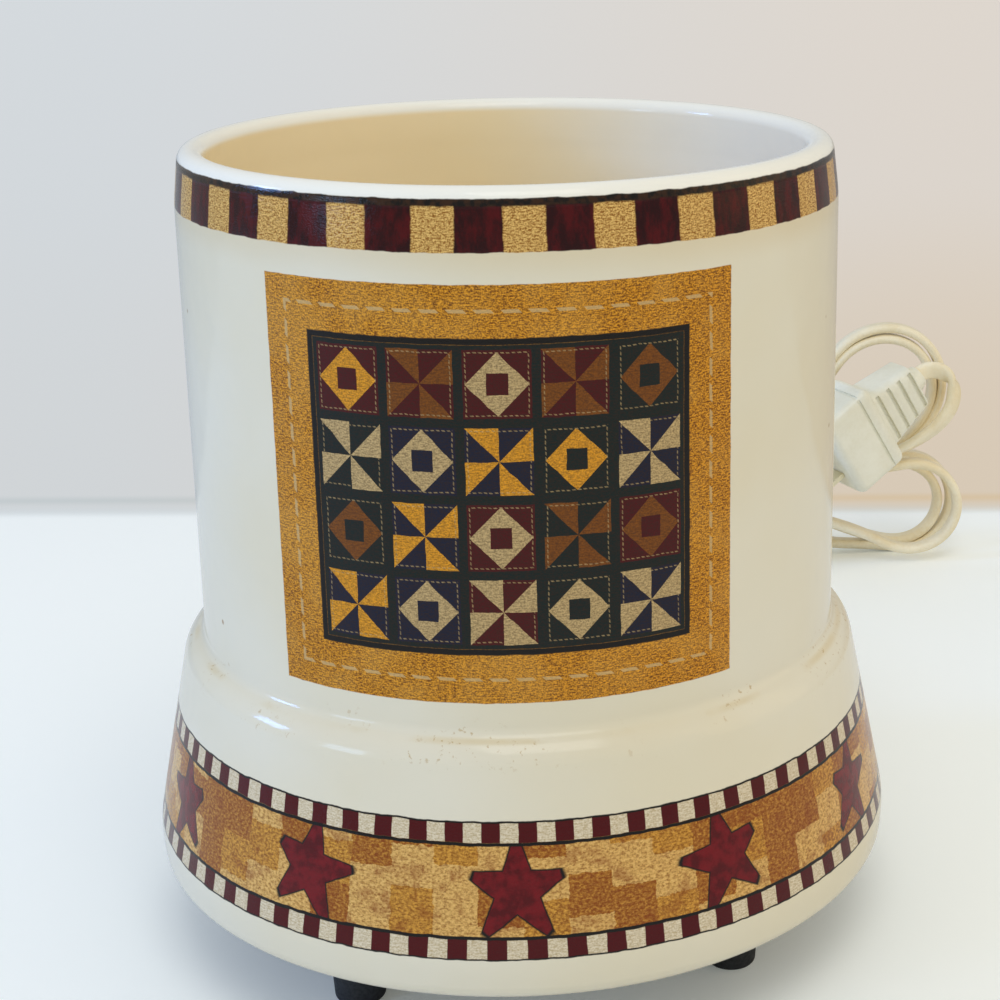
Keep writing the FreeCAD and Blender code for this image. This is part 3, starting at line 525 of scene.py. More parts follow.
@dataclass(frozen=True)
class StarRow:
    """Rustic stars round the skirt, a little closer together at the front."""

    step: float = 30.0
    phase: float = -1.5
    crowding: float = 2.47
    stretch: float = 1.045
    level: float = 38.2
    length: float = 8.5
    leg: float = 1.5
    skew: float = 1.2
    tilt: float = 0.2
    waist: float = 4.3
    cap: float = 2.4

    def measure(self, spot: Spot) -> Signal:
        """Distance measure of the nearest star: under 1 inside it, 1 on its rounded edge."""
        turn = spot.azimuth - self.phase
        warped = turn - (turn * DEGREE).sine() * self.crowding
        index = (warped / self.step + 0.5).floor()
        arc = (warped - index * self.step) * (SKIRT_RADIUS * DEGREE * self.stretch)
        rise = spot.z - self.level
        lean = (index * 2.1).sine()
        reach = arc.hypot(rise)
        angle = arc.bearing(rise) + lean * self.tilt
        fifth = 2 * math.pi / 5
        side = abs((angle / fifth + 0.5).frac() - 0.5) * fifth
        down, sideways = angle.cosine().low(0.0), angle.sine() * lean
        length = down * -self.leg - sideways * self.skew + self.length
        tip = length + self.cap
        slope = (tip / self.waist - math.cos(fifth / 2)) / math.sin(fifth / 2)
        flank = reach * (side.cosine() + side.sine() * slope) / tip
        return flank.high(reach / length) + spot.wobble * 0.1


@dataclass(frozen=True)
class SkirtBorder(Print):
    """Patchwork cloth with stars between two rows of checks."""

    face: float = 65.6
    low: float = 26.0
    high: float = 50.1
    rules: tuple = ((49.75, 50.2), (45.8, 46.4), (29.6, 30.2), (25.9, 26.3))
    checks: tuple = ((Blocks(68, 0.2), 46.35, 46.45), (Blocks(66, 1.1), 29.75, 29.65))
    stars: StarRow = StarRow()
    patch_width: float = 7.8
    patch_height: float = 7.4
    patch_drop: float = 3.1
    cloth_light: Colour = srgb(222, 162, 64)
    patch_light: Colour = srgb(236, 198, 126)
    rust: Colour = srgb(130, 58, 8)
    star_light: Colour = srgb(114, 14, 21)
    star_dark: Colour = srgb(82, 6, 11)
    check_light: Colour = srgb(228, 214, 186)
    check_dark: Colour = srgb(190, 170, 132)

    def lay(self, graph: Graph, spot: Spot) -> tuple[Signal, Signal]:
        """The border's colour and its mask."""
        level = spot.z + spot.wobble * self.waver
        cloth = self.patchwork(graph, spot)
        edge = self.stars.measure(spot)
        cloth = graph.mix(edge.ramp(1.07, 0.98), cloth, LINE)
        cloud = graph.noise(spot.place, 0.5, 3.0).ramp(0.35, 0.65)
        star = graph.mix(cloud, self.star_dark, self.star_light)
        colour = graph.mix(edge.ramp(0.97, 0.92), cloth, star)
        pale = graph.mix(spot.grain, self.check_dark, self.check_light)
        for blocks, start, end in self.checks:
            row = graph.mix(blocks.dark(spot), pale, MAROON)
            colour = graph.mix(level.ramp(start, end), colour, row)
        for foot, top in self.rules:
            colour = graph.mix(level.within(foot, top, 0.08), colour, LINE)
        return colour, level.within(self.low, self.high, 0.1)

    def patchwork(self, graph: Graph, spot: Spot) -> Signal:
        """Woven gold cloth in pale, plain and rust patches with bent edges."""
        arc = spot.azimuth * (SKIRT_RADIUS * DEGREE)
        coarse = graph.noise(graph.join(arc * 1.5, spot.z * 1.9, 2.0), 1.0, 2.0, 0.6)
        weave = coarse.ramp(0.34, 0.66) * 0.6 + spot.grain * 0.4
        cloth = graph.mix(weave, TAN, self.cloth_light)
        bent = graph.noise(spot.place, 0.5, 3.0, 0.7) * 1.6
        column = ((arc + bent) / self.patch_width).floor()
        row = ((spot.z + bent + column * self.patch_drop) / self.patch_height).floor()
        patch = graph.chance(graph.join(column, row, 4.0))
        cloth = graph.mix((patch > 0.56) * (0.8 - weave * 0.5), cloth, self.rust)
        cloth = graph.mix((patch < 0.36) * (weave * 0.6 + 0.1), cloth, self.patch_light)
        cloud = graph.noise(spot.place, 0.2, 4.0, 0.7).ramp(0.5, 0.66)
        return graph.mix(cloud * 0.5, cloth, self.rust)


@dataclass(frozen=True)
class PrintedGlaze(Finish):
    """White glaze with the printed rim band, front panel and skirt border under it."""

    light: Colour = srgb(229, 222, 201)
    warm: Colour = srgb(224, 211, 176)
    # painted light: this paler white is the lip's top, as if lit from above, and the well's lit right
    # side
    pale: Colour = srgb(246, 243, 231)
    # painted warm shade: the well's left wall, turned from the cool key and warmed by the fill, is
    # painted this tan
    well_painted_warm_shade: Colour = srgb(254, 233, 188)
    # painted shade: a warm tan band on the body just under the rim band
    under_rim_painted_shade: Colour = srgb(214, 190, 142)
    crease_yellow: Colour = srgb(206, 176, 104)
    speck_brown: Colour = srgb(176, 138, 62)
    pit_brown: Colour = srgb(150, 106, 48)
    well_floor: float = 62.0
    crease: float = 62.75
    lip: float = 156.1
    bisque_top: float = 18.1
    prints: tuple[Print, ...] = (RimBand(), FrontPanel(), SkirtBorder())

    def paint(self, graph: Graph) -> None:
        """Lays the prints over the glaze, then sets gloss and relief."""
        spot = Spot.read(graph)
        colour = self.bare_glaze(graph, spot)
        printed = spot.outside * 0.0
        for field in self.prints:
            ink, mask = field.lay(graph, spot)
            colour = graph.mix(mask.low(spot.radius > field.face), colour, ink)
            printed = printed.high(mask.low(spot.outside))
        graph.feed("Base Color", colour)
        bisque = spot.z.ramp(self.bisque_top + 0.3, self.bisque_top - 0.3)
        gloss = graph.noise(spot.place, 0.05, 3.0).ramp(0.3, 0.7, 0.07, 0.13)
        graph.feed("Roughness", gloss + printed * 0.05 + bisque * 0.5)
        peel = graph.noise(spot.place, 0.055, 2.0)
        rings = graph.noise(graph.join(spot.azimuth * 0.004, spot.z * 0.3), 1.0, 2.0)
        raised = spot.z.within(155.0, 156.2, 0.25) * spot.outside
        relief = peel * 0.7 + rings * spot.inside * 0.1
        relief = relief + printed * spot.grain * 0.03 + raised * 0.12
        graph.bump(relief, 0.5)
        graph.fix(Specular_IOR_Level=0.24)

    def bare_glaze(self, graph: Graph, spot: Spot) -> Signal:
        """Colour of the glaze without prints: well painted with warm shade at the left and light at
        the right, lip top painted paler as if lit from above, painted shade under the rim, marks in
        the crease, pits.
        """
        cloud = graph.noise(spot.place, 0.02, 3.0).ramp(0.3, 0.7)
        base = graph.mix(cloud * 0.5, self.light, self.warm)
        # painted light and shade: the well runs from lit pale white at the right to shaded warm tan
        # at the left
        well_painted_light = graph.mix(spot.x.ramp(52.0, -15.0), self.pale, self.well_painted_warm_shade)
        above = spot.z.ramp(self.well_floor - 2.0, self.well_floor + 2.0)
        base = graph.mix(spot.inside * above, base, well_painted_light)
        # painted highlight: the lip's top is painted paler, as if lit from above
        base = graph.mix(spot.z.ramp(self.lip - 0.7, self.lip + 0.7), base, self.pale)
        patchy = graph.noise(spot.place, 0.06, 3.0).ramp(0.44, 0.62) * spot.outside
        line = spot.z.within(self.crease - 0.25, self.crease + 0.45, 0.3)
        base = graph.mix(line * patchy * 0.3, base, self.crease_yellow)
        specks = graph.noise(spot.place, 0.85, 3.0, 0.65).ramp(0.6, 0.68)
        specks = specks * spot.z.within(self.crease - 3.25, self.crease + 2.75, 2.0) * patchy
        base = graph.mix(specks * 0.6, base, self.speck_brown)
        # painted shade under the rim: the body is tinted warm tan there
        under_rim_shade_mask = spot.z.within(145.0, 150.0, 3.0) * spot.outside
        base = graph.mix(under_rim_shade_mask * 0.35, base, self.under_rim_painted_shade)
        cells = {"Vector": spot.place, "Scale": 0.05, "Randomness": 1.0}
        pits = graph.node("ShaderNodeTexVoronoi", {}, cells, "Distance").ramp(0.035, 0.012)
        return graph.mix(pits * 0.75, base, self.pit_brown)


# --- mesh tools
def point(x: float, y: float, z: float) -> Vector:
    """A point given in millimetres."""
    return Vector((x, y, z)) * MM


def frame_of(across: Vector, up: Vector, along: Vector, at: Vector) -> Matrix:
    """The matrix whose axes are the three vectors, set at a point."""
    return Matrix.Translation(at) @ Matrix((across, up, along)).transposed().to_4x4()


def dress(piece: Piece, finish: Finish, slot: str, *nodes: str) -> Piece:
    """Gives a new piece its finish and ties it to the frame.

    Args:
        piece: the finished piece.
        finish: its surface.
        slot: a material slot's name; not used.
        nodes: CAD nodes that the piece stands for.

    Returns:
        The same piece.
    """
    piece.data.materials.clear()
    piece.data.materials.append(finish.material())
    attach(piece, "root")
    if nodes:
        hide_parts(*nodes)
    return piece


def object_from(bm: bmesh.types.BMesh, name: str, sharp_degrees: float = CRISP_DEGREES) -> Piece:
    """Makes a smooth-shaded object of a bmesh and frees it.

    Args:
        bm: the mesh in hand.
        name: name of the object.
        sharp_degrees: edges that turn more than this stay crisp.

    Returns:
        The new object.
    """
    mesh = bpy.data.meshes.new(name)
    bm.to_mesh(mesh)
    bm.free()
    mesh.shade_smooth()
    mesh.set_sharp_from_angle(angle=math.radians(sharp_degrees))
    made = bpy.data.objects.new(name, mesh)
    bpy.context.scene.collection.objects.link(made)
    return made


def turned(name: str, corners: Sequence[Triple], steps: int) -> Piece:
    """Spins a closed profile round Z.

    Args:
        name: name of the object.
        corners: radius, height and round of each corner, in order round the profile.
        steps: facets of a full turn.

    Returns:
        The closed solid of revolution.
    """
    bm = bmesh.new()
    ring = [bm.verts.new(point(radius, 0.0, height)) for radius, height, _ in corners]
    bm.faces.new(ring)
    for vertex, (_, _, size) in zip(ring, corners):
        if size <= 0.0:
            continue
        spans = [edge.other_vert(vertex).co - vertex.co for edge in vertex.link_edges]
        half = spans[0].angle(spans[1]) / 2.0
        reach = size * MM / math.tan(half)
        count = max(2, round(math.degrees(math.pi - 2.0 * half) / FACET_DEGREES))
        bmesh.ops.bevel(bm, geom=[vertex], offset=reach, offset_type="OFFSET", segments=count,
                        profile=0.5, affect="VERTICES", clamp_overlap=False, material=-1)
    bmesh.ops.delete(bm, geom=list(bm.faces), context="FACES_ONLY")
    bmesh.ops.spin(bm, geom=list(bm.verts) + list(bm.edges), cent=(0, 0, 0), axis=(0, 0, 1),
                   angle=2.0 * math.pi, steps=steps, use_merge=True)
    bmesh.ops.remove_doubles(bm, verts=list(bm.verts), dist=WELD)
    bmesh.ops.dissolve_degenerate(bm, edges=list(bm.edges), dist=WELD)
    bmesh.ops.recalc_face_normals(bm, faces=list(bm.faces))
    return object_from(bm, name)


def cylinder(name: str, radius: float, start: Vector, end: Vector, segments: int) -> Piece:
    """Round bar between two points, radius in millimetres."""
    bm = bmesh.new()
    along = end - start
    turn = along.to_track_quat("Z", "Y").to_matrix().to_4x4()
    bmesh.ops.create_cone(bm, cap_ends=True, segments=segments, radius1=radius * MM,
                          radius2=radius * MM, depth=along.length,
                          matrix=Matrix.Translation((start + end) / 2) @ turn)
    return object_from(bm, name)


def applied(piece: Piece) -> Piece:
    """Makes a piece's modifiers part of its mesh."""
    graph = bpy.context.evaluated_depsgraph_get()
    graph.update()
    mesh = bpy.data.meshes.new_from_object(piece.evaluated_get(graph))
    piece.modifiers.clear()
    piece.data = mesh
    return piece


def carve(piece: Piece, cutters: Sequence[Piece]) -> None:
    """Cuts the cutters out of a piece, removes them and welds the slivers of the cut."""
    for cutter in cutters:
        cut = piece.modifiers.new("cut", "BOOLEAN")
        cut.operation = "DIFFERENCE"
        cut.solver = "EXACT"
        cut.object = cutter
    applied(piece)
    for cutter in cutters:
        bpy.data.objects.remove(cutter)
    bm = bmesh.new()
    bm.from_mesh(piece.data)
    bmesh.ops.remove_doubles(bm, verts=list(bm.verts), dist=CUT_WELD)
    bmesh.ops.dissolve_degenerate(bm, edges=list(bm.edges), dist=CUT_WELD)
    bm.to_mesh(piece.data)
    bm.free()
    piece.data.set_sharp_from_angle(angle=math.radians(CRISP_DEGREES))


def softened(node: str, name: str, width: float, segments: int = 3) -> Piece:
    """A welded copy of a CAD node with its hard edges rounded.

    Args:
        node: the CAD node.
        name: name of the new piece.
        width: width of the rounding, in millimetres.
        segments: facets across it.

    Returns:
        The copy.
    """
    bm = bmesh.new()
    bm.from_mesh(NODES[node].data)
    bmesh.ops.remove_doubles(bm, verts=list(bm.verts), dist=WELD)
    bmesh.ops.dissolve_limit(bm, angle_limit=math.radians(1.0), verts=list(bm.verts),
                             edges=list(bm.edges))
    made = object_from(bm, name)
    bevel = made.modifiers.new("round", "BEVEL")
    bevel.width = width * MM
    bevel.segments = segments
    bevel.limit_method = "ANGLE"
    bevel.angle_limit = math.radians(30.0)
    bevel.harden_normals = True
    return applied(made)


# --- studio
@dataclass(frozen=True)
class Lamp:
    """A square area lamp aimed at a point on the crock's axis."""

    name: str
    place: Triple
    size: float
    power: float
    colour: Colour
    aim: float = 80.0

    def build(self) -> None:
        """Makes the lamp."""
        light = bpy.data.lights.new(self.name, "AREA")
        light.size = self.size
        light.energy = self.power
        light.color = self.colour
        lamp = bpy.data.objects.new(self.name, light)
        place = point(*self.place)
        turn = (point(0, 0, self.aim) - place).to_track_quat("-Z", "Y")
        lamp.matrix_world = Matrix.Translation(place) @ turn.to_matrix().to_4x4()
        bpy.context.scene.collection.objects.link(lamp)


@dataclass
class Studio:
    """Floor, light and camera of the photograph."""

    table: Colour = srgb(244, 247, 246)
    table_glow: Colour = (0.12, 0.125, 0.11)
    # painted light and shade of the room on the wall: cool at the left, warm at the right, warm shade
    # low down, shade along the seam
    wall_cool: Colour = srgb(204, 209, 213)
    wall_warm: Colour = srgb(214, 206, 197)
    wall_low_shade: Colour = srgb(208, 184, 146)
    seam_shade: Colour = srgb(184, 193, 196)
    seam_y: float = 251.4
    seam_slope: float = -0.079
    room_colour: Colour = (0.95, 0.985, 1.0)
    room_strength: float = 0.585
    lamps: tuple[Lamp, ...] = (
        Lamp("key", (-1230, -20, 520), 0.24, 4.6, (0.22, 0.44, 1.0)),
        Lamp("fill", (1250, -150, 620), 1.1, 2.6, (1.0, 0.68, 0.28)),
        Lamp("top", (80, -560, 1100), 0.6, 3.5, (1.0, 0.97, 0.9)),
        Lamp("glint", (-1060, -640, 400), 0.28, 1.9, (0.42, 0.64, 1.0), 60.0),
    )
    focal: float = 72.05
    sensor: float = 36.0
    shift: tuple[float, float] = (-0.1283, -0.0748)
    eye: Triple = (0.0, -379.8, 210.2)
    pitch: float = 0.281
    yaw: float = 0.0586
    roll: float = -0.0104

    def build(self) -> None:
        """Makes the floor, lights and camera."""
        self.floor()
        self.lights()
        self.camera()
        log.info("studio ready")

    def floor(self) -> None:
        """One plane: white table in front, pale wall colour behind a soft, shaded seam.

        The wall's colour is emission that only the camera sees, so it throws no light. It carries
        painted light and shade: cool at the left, warm at the right, a warm painted shade low down
        and at its foot, and the table is painted darker along the seam.
        """
        bm = bmesh.new()
        bmesh.ops.create_grid(bm, x_segments=2, y_segments=2, size=6.0)
        floor = object_from(bm, "floor")
        graph = Graph("table_and_wall")
        x, y, _ = graph.split(graph.place())
        side = (x / (y - self.eye[1])).ramp(-0.24, 0.24)
        behind = y - x * self.seam_slope - self.seam_y
        # painted light: the wall is cool at the left and warm at the right
        wall = graph.mix(side, self.wall_cool, self.wall_warm)
        # painted shade: the wall grows darker and warmer low down, more at the right
        low = behind.ramp(700.0, 0.0, 0.0, 0.45) * (side * 0.9 + 0.1)
        wall = graph.mix(low, wall, self.wall_low_shade)
        # painted shade at the wall's foot
        foot = graph.mix(side, self.seam_shade, self.wall_low_shade)
        wall = graph.mix(behind.within(7.0, 13.0, 4.0) * 0.7, wall, foot)
        far = behind.ramp(-8.0, 9.0)
        # painted shade on the table along the seam
        table = graph.mix(behind.within(-5.0, 6.0, 5.0) * 0.4, self.table, self.seam_shade)
        camera = graph.node("ShaderNodeLightPath", {}, {}, "Is Camera Ray")
        black = (0.0, 0.0, 0.0)
        lit = graph.mix(far, table, wall)
        graph.feed("Base Color", graph.mix(far * camera, lit, black))
        seen = graph.mix(far, self.table_glow, wall)
        graph.feed("Emission Color", graph.mix(camera, black, seen))
        graph.fix(Emission_Strength=1.0, Roughness=0.6, Specular_IOR_Level=0.2)
        floor.data.materials.append(graph.material)

    def lights(self) -> None:
        """Cool key and glint from the left, warm fill from the right, top lamp, even room."""
        for lamp in self.lamps:
            lamp.build()
        world = bpy.data.worlds.new("room")
        world.use_nodes = True
        back = world.node_tree.nodes["Background"]
        back.inputs[0].default_value = (*self.room_colour, 1.0)
        back.inputs[1].default_value = self.room_strength
        bpy.context.scene.world = world

    def camera(self) -> None:
        """Camera at the photograph's place and angle."""
        data = bpy.data.cameras.new("camera")
        data.lens = self.focal
        data.sensor_width = self.sensor
        data.shift_x, data.shift_y = self.shift
        data.clip_start = 0.01
        eye = bpy.data.objects.new("camera", data)
        level = Vector((math.sin(self.yaw), math.cos(self.yaw), 0.0)) * math.cos(self.pitch)
        forward = level - Vector((0.0, 0.0, math.sin(self.pitch)))
        right = Vector((math.cos(self.yaw), -math.sin(self.yaw), 0.0))
        up = right.cross(forward)
        rolled = math.cos(self.roll) * right + math.sin(self.roll) * up
        top = math.cos(self.roll) * up - math.sin(self.roll) * right
        eye.matrix_world = frame_of(rolled, top, -forward, point(*self.eye))
        bpy.context.scene.collection.objects.link(eye)
        bpy.context.scene.camera = eye


# --- cord and plug
class LoopShape(Enum):
    """Loops of the hank as x and z in millimetres, each the same way round."""

    UPPER = ((72, 19), (86, 24), (101, 28.8), (114, 33.5), (123.8, 41), (128.4, 51),
             (127.6, 61.6), (121, 70), (110.4, 73), (99, 69), (91, 58), (85, 46), (78.7, 35.5),
             (71, 28))
    LOWER = ((72, 11), (83, 7), (95, 3), (108, 2.4), (121, 0.8), (130, 6), (134, 15.3),
             (131.2, 25), (123, 31.2), (111, 30.7), (99, 28.5), (86, 25), (73, 21.5))
    INNER = ((72, 15.5), (83, 14), (94, 10.5), (104.8, 6.1), (115.9, 2.9), (123.9, 5.1),
             (128.9, 11.3), (129.4, 19.2), (125.1, 25.9), (117.4, 29), (107.9, 26.8),
             (96.2, 24.6), (85, 21.6), (73, 19))
    MIDDLE = ((72, 17.3), (83, 16.6), (94, 13.6), (105, 9.5), (115.1, 3.9), (124.7, 4.5),
              (131.6, 10.2), (133.6, 18.9), (130, 27.2), (121.8, 31.8), (110.9, 30.3),
              (98.2, 28.6), (86, 25), (73, 21.5))
    LEFT = ((48, 27.5), (38.2, 36), (27, 42.3), (14.6, 41.2), (5.5, 33.4), (3.5, 22.1),
            (7.7, 11.8), (18, 5.9), (32, 5.9), (46, 8.6))

    def around(self, column: float, centre: Vector, shrink: float) -> list[Vector]:
        """The loop's points in one upright column, drawn in towards a centre."""
        inside = [Vector(pair).lerp(centre, shrink) for pair in self.value]
        return [point(at.x, column, at.y) for at in inside]


@dataclass(frozen=True)
class HankTurn:
    """One turn of the folded cord: out to a right-hand loop and back round the left lobe."""

    shape: LoopShape
    right_column: float
    left_column: float
    out_level: float
    back_level: float
    shrink: float = 0.0
    left_shrink: float = 0.0
    tie_x: float = 60.0

    def points(self) -> list[Vector]:
        """Control points of the turn, from the tie round and back to it."""
        centre = Vector((106.0, 47.0 if self.shape is LoopShape.UPPER else 18.0))
        between = (self.right_column + self.left_column) / 2
        route = [point(self.tie_x, self.right_column, self.out_level)]
        route += self.shape.around(self.right_column, centre, self.shrink)
        route.append(point(self.tie_x, between, self.back_level))
        left = LoopShape.LEFT.around(self.left_column, Vector((34.0, 17.0)), self.left_shrink)
        return route + left


@dataclass
class CordSet:
    """Flat two-core cord with its hank, tie, plug and blades."""

    width: float = 5.2
    core_radius: float = 1.35
    section_steps: int = 20
    waist: float = 0.62
    exit: Triple = (0.0, 98.4, 32.0)
    lead: tuple[Triple, ...] = (
        (0, 98.4, 32), (0, 113, 32), (-1.5, 129, 26.5), (-4.8, 144.4, 16.4), (-6.6, 161.4, 7.5),
        (-1.9, 179.1, 4.2), (11, 192, 4.2), (28, 199, 2.6), (46, 200.3, 6.5),
    )
    turns: tuple[HankTurn, ...] = (
        HankTurn(LoopShape.LOWER, 200.3, 200.3, 12.5, 20.5),
        HankTurn(LoopShape.UPPER, 195.1, 195.1, 14.0, 25.0),
        HankTurn(LoopShape.INNER, 200.3, 200.3, 15.4, 17.6, 0.0, 0.16),
        HankTurn(LoopShape.UPPER, 195.1, 189.9, 17.0, 21.5, 0.13, 0.04),
        HankTurn(LoopShape.MIDDLE, 189.9, 195.1, 16.5, 19.0, 0.0, 0.14),
    )
    strand: tuple[Triple, ...] = (
        (60, 190.5, 19.5), (73, 189.9, 26), (88, 189.9, 30), (103, 189.2, 32.8), (115, 188, 36),
        (123.6, 187, 41.5), (128.2, 186.8, 46.5), (130.4, 187.3, 51.2), (130.1, 187.4, 56.6),
        (126.6, 187.5, 60.4),
    )
    plug_origin: Triple = (104.2, 179.0, 49.3)
    plug_climb: float = 32.0
    plug_swing: float = 25.0
    nub_end: float = 19.3
    nub_reach: float = 3.0
    lead_share: float = 0.07
    lead_turn: tuple[float, float] = (172.0, 22.0)
    plug_share: float = 0.965
    plug_turn: float = 0.033
    finish: Finish = MouldedPlastic(
        "cord_ivory", srgb(250, 240, 212), srgb(238, 221, 180), 0.42, 0.9)
    plug_finish: Finish = MouldedPlastic(
        "plug_ivory", srgb(241, 239, 222), srgb(230, 226, 204), 0.34, 1.1)
    blade_finish: Finish = PlatedMetal(
        "blade_brass", srgb(214, 184, 120), srgb(160, 130, 80), 0.25)

    def build(self) -> None:
        """Builds the cord, then the pieces on it."""
        path = self.smooth_path()
        cord = self.sweep(path)
        dress(cord, self.finish, "ivory_cord", "cord_lead", "cord_hank")
        plug = softened("plug_body", "plug_moulding", 0.5)
        dress(plug, self.plug_finish, "ivory_moulding", "plug_body")
        for node in ("plug_blade_wide", "plug_blade_narrow"):
            blade = softened(node, node + "_bevelled", 0.25, 2)
            dress(blade, self.blade_finish, "blade_brass", node)
        self.length(path)
        log.info("cord: %.3f m in %d points", self.length(path), len(path))

    @staticmethod
    def length(path: Sequence[Vector]) -> float:
        """Length along a line of points."""
        return sum((b - a).length for a, b in zip(path, path[1:]))

    def plug_axes(self) -> tuple[Vector, Vector]:
        """Direction in which the cord leaves the plug, and the plug's upright across it."""
        climb, swing = math.radians(self.plug_climb), math.radians(self.plug_swing)
        rise, run = math.sin(climb), math.cos(climb)
        ahead, aside = math.cos(swing), math.sin(swing)
        return (Vector((run * ahead, run * aside, rise)),
                Vector((-rise * ahead, -rise * aside, run)))

    def control_points(self) -> list[Vector]:
        """Control points of the cord, from its exit to the plug."""
        route = [point(*at) for at in self.lead]
        for turn in self.turns:
            route += turn.points()
        route += [point(*at) for at in self.strand]
        axis = self.plug_axes()[0]
        nub = point(*self.plug_origin) + axis * self.nub_end * MM
        return route + [nub + axis * self.nub_reach * MM, nub]

    def smooth_path(self) -> list[Vector]:
        """Points read from the route's spline."""
        curve = bpy.data.curves.new("cord_route", "CURVE")
        curve.dimensions = "3D"
        spline = curve.splines.new("NURBS")
        route = self.control_points()
        spline.points.add(len(route) - 1)
        for knot, at in zip(spline.points, route):
            knot.co = (*at, 1.0)
        spline.order_u = 3
        spline.use_endpoint_u = True
        spline.resolution_u = 7
        holder = bpy.data.objects.new("cord_route", curve)
        bpy.context.scene.collection.objects.link(holder)
        bpy.context.view_layer.update()
        mesh = bpy.data.meshes.new_from_object(holder)
        path = [vertex.co.copy() for vertex in mesh.vertices]
        bpy.data.objects.remove(holder)
        bpy.data.meshes.remove(mesh)
        ahead = path[1:] + [None]
        return [a for a, b in zip(path, ahead) if b is None or (b - a).length > WELD]

    def width_axis(self, at: Vector, along: Vector, share: float) -> Vector:
        """Direction of the flat cord's width at a point.

        Args:
            at: the point.
            along: the cord's direction there.
            share: how far along the whole cord it is, from 0 to 1.

        Returns:
            A unit vector square to the cord.
        """
        across = Vector((0.0, -1.0, 0.0))
        if share < self.lead_share:
            level = along.cross(Vector((0, 0, 1)))
            start, span = self.lead_turn
            blend = min(1.0, max(0.0, (at.y / MM - start) / span))
            across = level.normalized().lerp(across, blend)
        if share > self.plug_share:
            blend = min(1.0, (share - self.plug_share) / self.plug_turn)
            across = across.lerp(self.plug_axes()[1], blend * blend * (3 - 2 * blend))
        across = across - along * across.dot(along)
        return across.normalized()

    def section(self) -> bmesh.types.BMesh:
        """The rim of the two-core section about the origin, with a waist between the cores."""
        bm = bmesh.new()
        made = bmesh.ops.create_circle(bm, cap_ends=False, segments=self.section_steps, radius=1.0)
        radius = self.core_radius * MM
        half = (self.width / 2 - self.core_radius) * MM
        for vertex in made["verts"]:
            angle = math.atan2(vertex.co.y, vertex.co.x)
            side, rise = math.cos(angle), math.sin(angle)
            fold = math.pi * self.waist * (1 - abs(side)) ** 0.9
            vertex.co.x = math.copysign(half + radius * math.cos(fold), side)
            vertex.co.y = math.copysign(radius * math.sin(fold), rise)
        return bm

    def sweep(self, path: Sequence[Vector]) -> Piece:
        """Carries the section along the path by extruding its rim.

        Args:
            path: points of the cord's centre line.

        Returns:
            The closed cord.
        """
        total, gone, frames = self.length(path), 0.0, []
        for i, at in enumerate(path):
            before, after = path[max(i - 1, 0)], path[min(i + 1, len(path) - 1)]
            gone += (at - before).length
            along = (after - before).normalized()
            across = self.width_axis(at, along, gone / total)
            frames.append(frame_of(across, along.cross(across), along, at))
        bm = self.section()
        bmesh.ops.transform(bm, matrix=frames[0], verts=list(bm.verts))
        rim = list(bm.edges)
        first = list(rim)
        for last, this in zip(frames, frames[1:]):
            grown = bmesh.ops.extrude_edge_only(bm, edges=rim)["geom"]
            verts = {item for item in grown if isinstance(item, bmesh.types.BMVert)}
            rim = [item for item in grown if isinstance(item, bmesh.types.BMEdge)
                   and verts.issuperset(item.verts)]
            bmesh.ops.transform(bm, matrix=this @ last.inverted(), verts=list(verts))
        bmesh.ops.holes_fill(bm, edges=first, sides=0)
        bmesh.ops.holes_fill(bm, edges=rim, sides=0)
        bmesh.ops.recalc_face_normals(bm, faces=list(bm.faces))
        return object_from(bm, "flat_cord", 60.0)


# --- crock
@dataclass
class Crock:
    """Glazed crock with its printed bands; the profile runs from the lip down the outside."""

    finish: Finish = PrintedGlaze("printed_glaze")
    profile: tuple[Triple, ...] = (
        (56.4, 158.2, 2.4), (61.3, 158.2, 2.4), (62.5, 147.8, 30.0), (62.5, 63.7, 2.2),
        (66.2, 61.6, 5.5), (73.6, 25.0, 12.0), (73.2, 17.5, 3.5), (67.0, 17.5, 1.2),
        (67.0, 21.0, 0.0), (63.0, 21.0, 1.0), (63.0, 24.5, 1.0), (66.95, 28.5, 4.0),
        (61.4, 56.5, 4.0), (36.0, 56.5, 1.0), (36.0, 62.0, 1.0), (57.0, 62.0, 2.0),
        (57.0, 147.8, 30.0),
    )
    steps: int = 192
    outlet_level: float = 32.0
    outlet_radius: float = 6.5
    outlet_from: float = 44.0
    spot_radius: float = 9.6
    spot_y: float = 71.0
    cut_to: float = 120.0

    def build(self) -> None:
        """Turns the crock and cuts its outlet and the flat spot round it."""
        crock = turned("glazed_crock", self.profile, self.steps)
        end = point(0, self.cut_to, self.outlet_level)
        inner = point(0, self.outlet_from, self.outlet_level)
        face = point(0, self.spot_y, self.outlet_level)
        hole = cylinder("hole", self.outlet_radius, inner, end, 48)
        flat = cylinder("flat", self.spot_radius, face, end, 64)
        carve(crock, [hole, flat])
        dress(crock, self.finish, "glazed_crock", "ceramic_housing")
        log.info("crock: %d faces", len(crock.data.polygons))


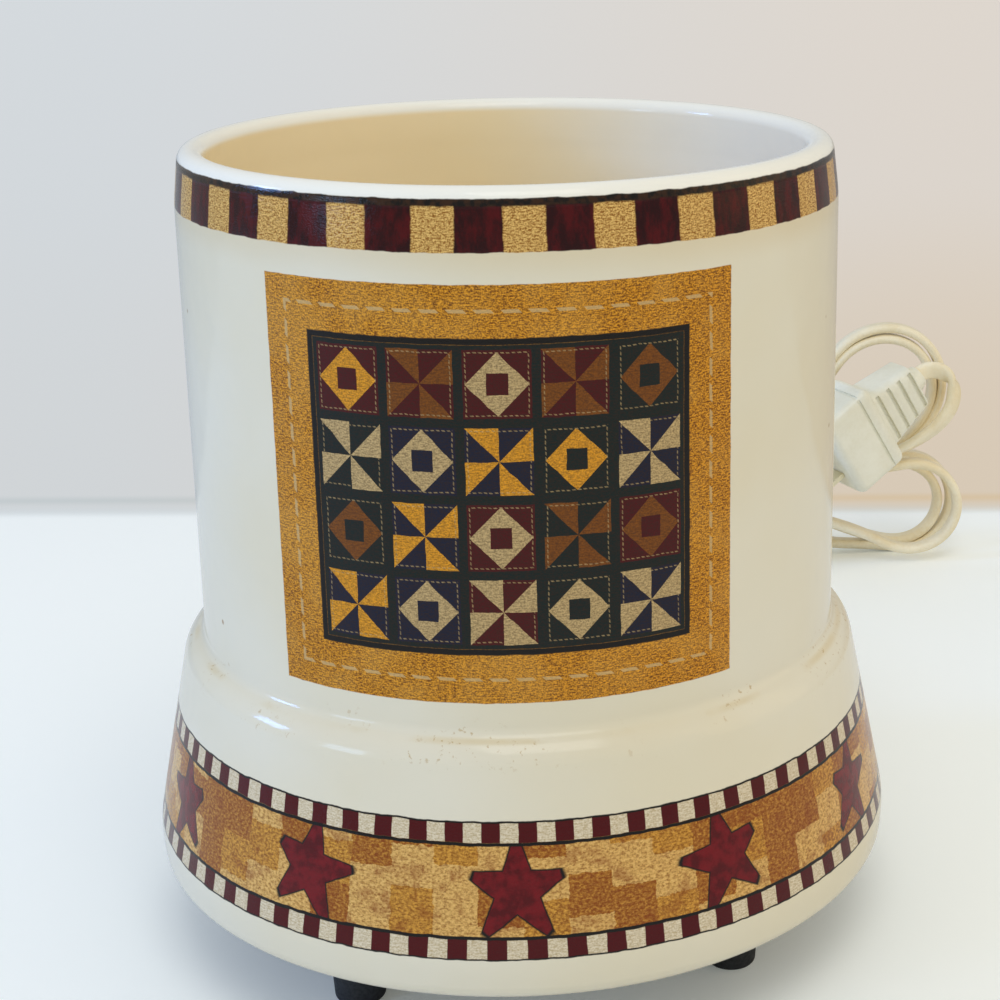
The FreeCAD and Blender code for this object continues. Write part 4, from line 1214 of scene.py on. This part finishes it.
# --- CAD pieces kept as they are
@dataclass
class Works:
    """The CAD nodes that keep their shape: each finish with the nodes that wear it."""

    finishes: tuple[tuple[Finish, tuple[str, ...]], ...] = (
        (TurnedMetal("plate_aluminium", srgb(206, 206, 204), srgb(160, 160, 158), 0.3, 0.5),
         ("warmer_plate",)),
        (TurnedMetal("sheet_aluminium", srgb(200, 200, 200), srgb(150, 150, 150), 0.38),
         ("heat_spreader", "heat_shield")),
        (FleckedSheet("fibre_gasket", srgb(222, 214, 196), srgb(176, 164, 140), 0.9),
         ("plate_gasket", "cover_gasket")),
        (FleckedSheet("mica_board", srgb(206, 188, 150), srgb(150, 130, 96), 2.2, 0.35, 0.03),
         ("mica_upper", "mica_lower", "ribbon_board")),
        (PlatedMetal("resistance_ribbon", srgb(170, 160, 150), srgb(96, 86, 80), 0.4),
         ("heating_ribbon",)),
        (PlatedMetal("zinc_steel", srgb(196, 198, 200), srgb(140, 142, 144), 0.34),
         ("clamp_plate", "centre_rod", "clamp_washer", "clamp_nut", "shield_spacer",
          "shield_nut", "fuse_clip", "clip_rivets", "foot_screws", "foot_nuts",
          "base_washer", "base_nut", "thermal_fuse")),
        (PlatedMetal("terminal_brass", srgb(206, 170, 100), srgb(150, 116, 60), 0.3),
         ("element_terminals",)),
        (FleckedSheet("glass_sleeving", srgb(232, 228, 214), srgb(196, 188, 168), 0.5,
                      stretch=(0.4, 1.6, 1.6)), ("fuse_sleeve",)),
        (MouldedPlastic("wire_white", srgb(226, 224, 216), srgb(200, 196, 186), 0.4),
         ("wire_terminal_to_fuse", "wire_fuse_to_splice", "wire_terminal_to_splice",
          "cord_tail")),
        (MouldedPlastic("splice_cap", srgb(206, 190, 150), srgb(176, 156, 112), 0.45),
         ("splice_live", "splice_neutral")),
        (MouldedPlastic("bushing_ivory", srgb(242, 236, 214), srgb(226, 216, 186), 0.45),
         ("cord_bushing",)),
        (FleckedSheet("cover_black", srgb(40, 40, 41), srgb(22, 22, 23), 0.6, 0.5, 0.05),
         ("base_cover",)),
        (FleckedSheet("foot_rubber", srgb(36, 38, 40), srgb(16, 17, 18), 0.7, 0.66, 0.04),
         ("rubber_foot_1", "rubber_foot_2", "rubber_foot_3", "rubber_foot_4")),
        (MouldedPlastic("tie_plastic", srgb(238, 236, 226), srgb(216, 212, 198), 0.5),
         ("cord_tie",)),
    )

    def build(self) -> None:
        """Dresses the kept nodes."""
        for finish, names in self.finishes:
            for name in names:
                materials = NODES[name].data.materials
                materials.clear()
                materials.append(finish.material())
        log.info("kept nodes dressed")


def main() -> None:
    """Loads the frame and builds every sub-assembly."""
    logging.basicConfig(level=logging.INFO, format="%(name)s: %(message)s")
    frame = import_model()
    NODES.update(frame["nodes"])
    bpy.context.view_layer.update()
    bpy.context.scene.view_settings.view_transform = "Standard"
    Studio().build()
    CordSet().build()
    Crock().build()
    Works().build()


if __name__ == "__main__":
    main()
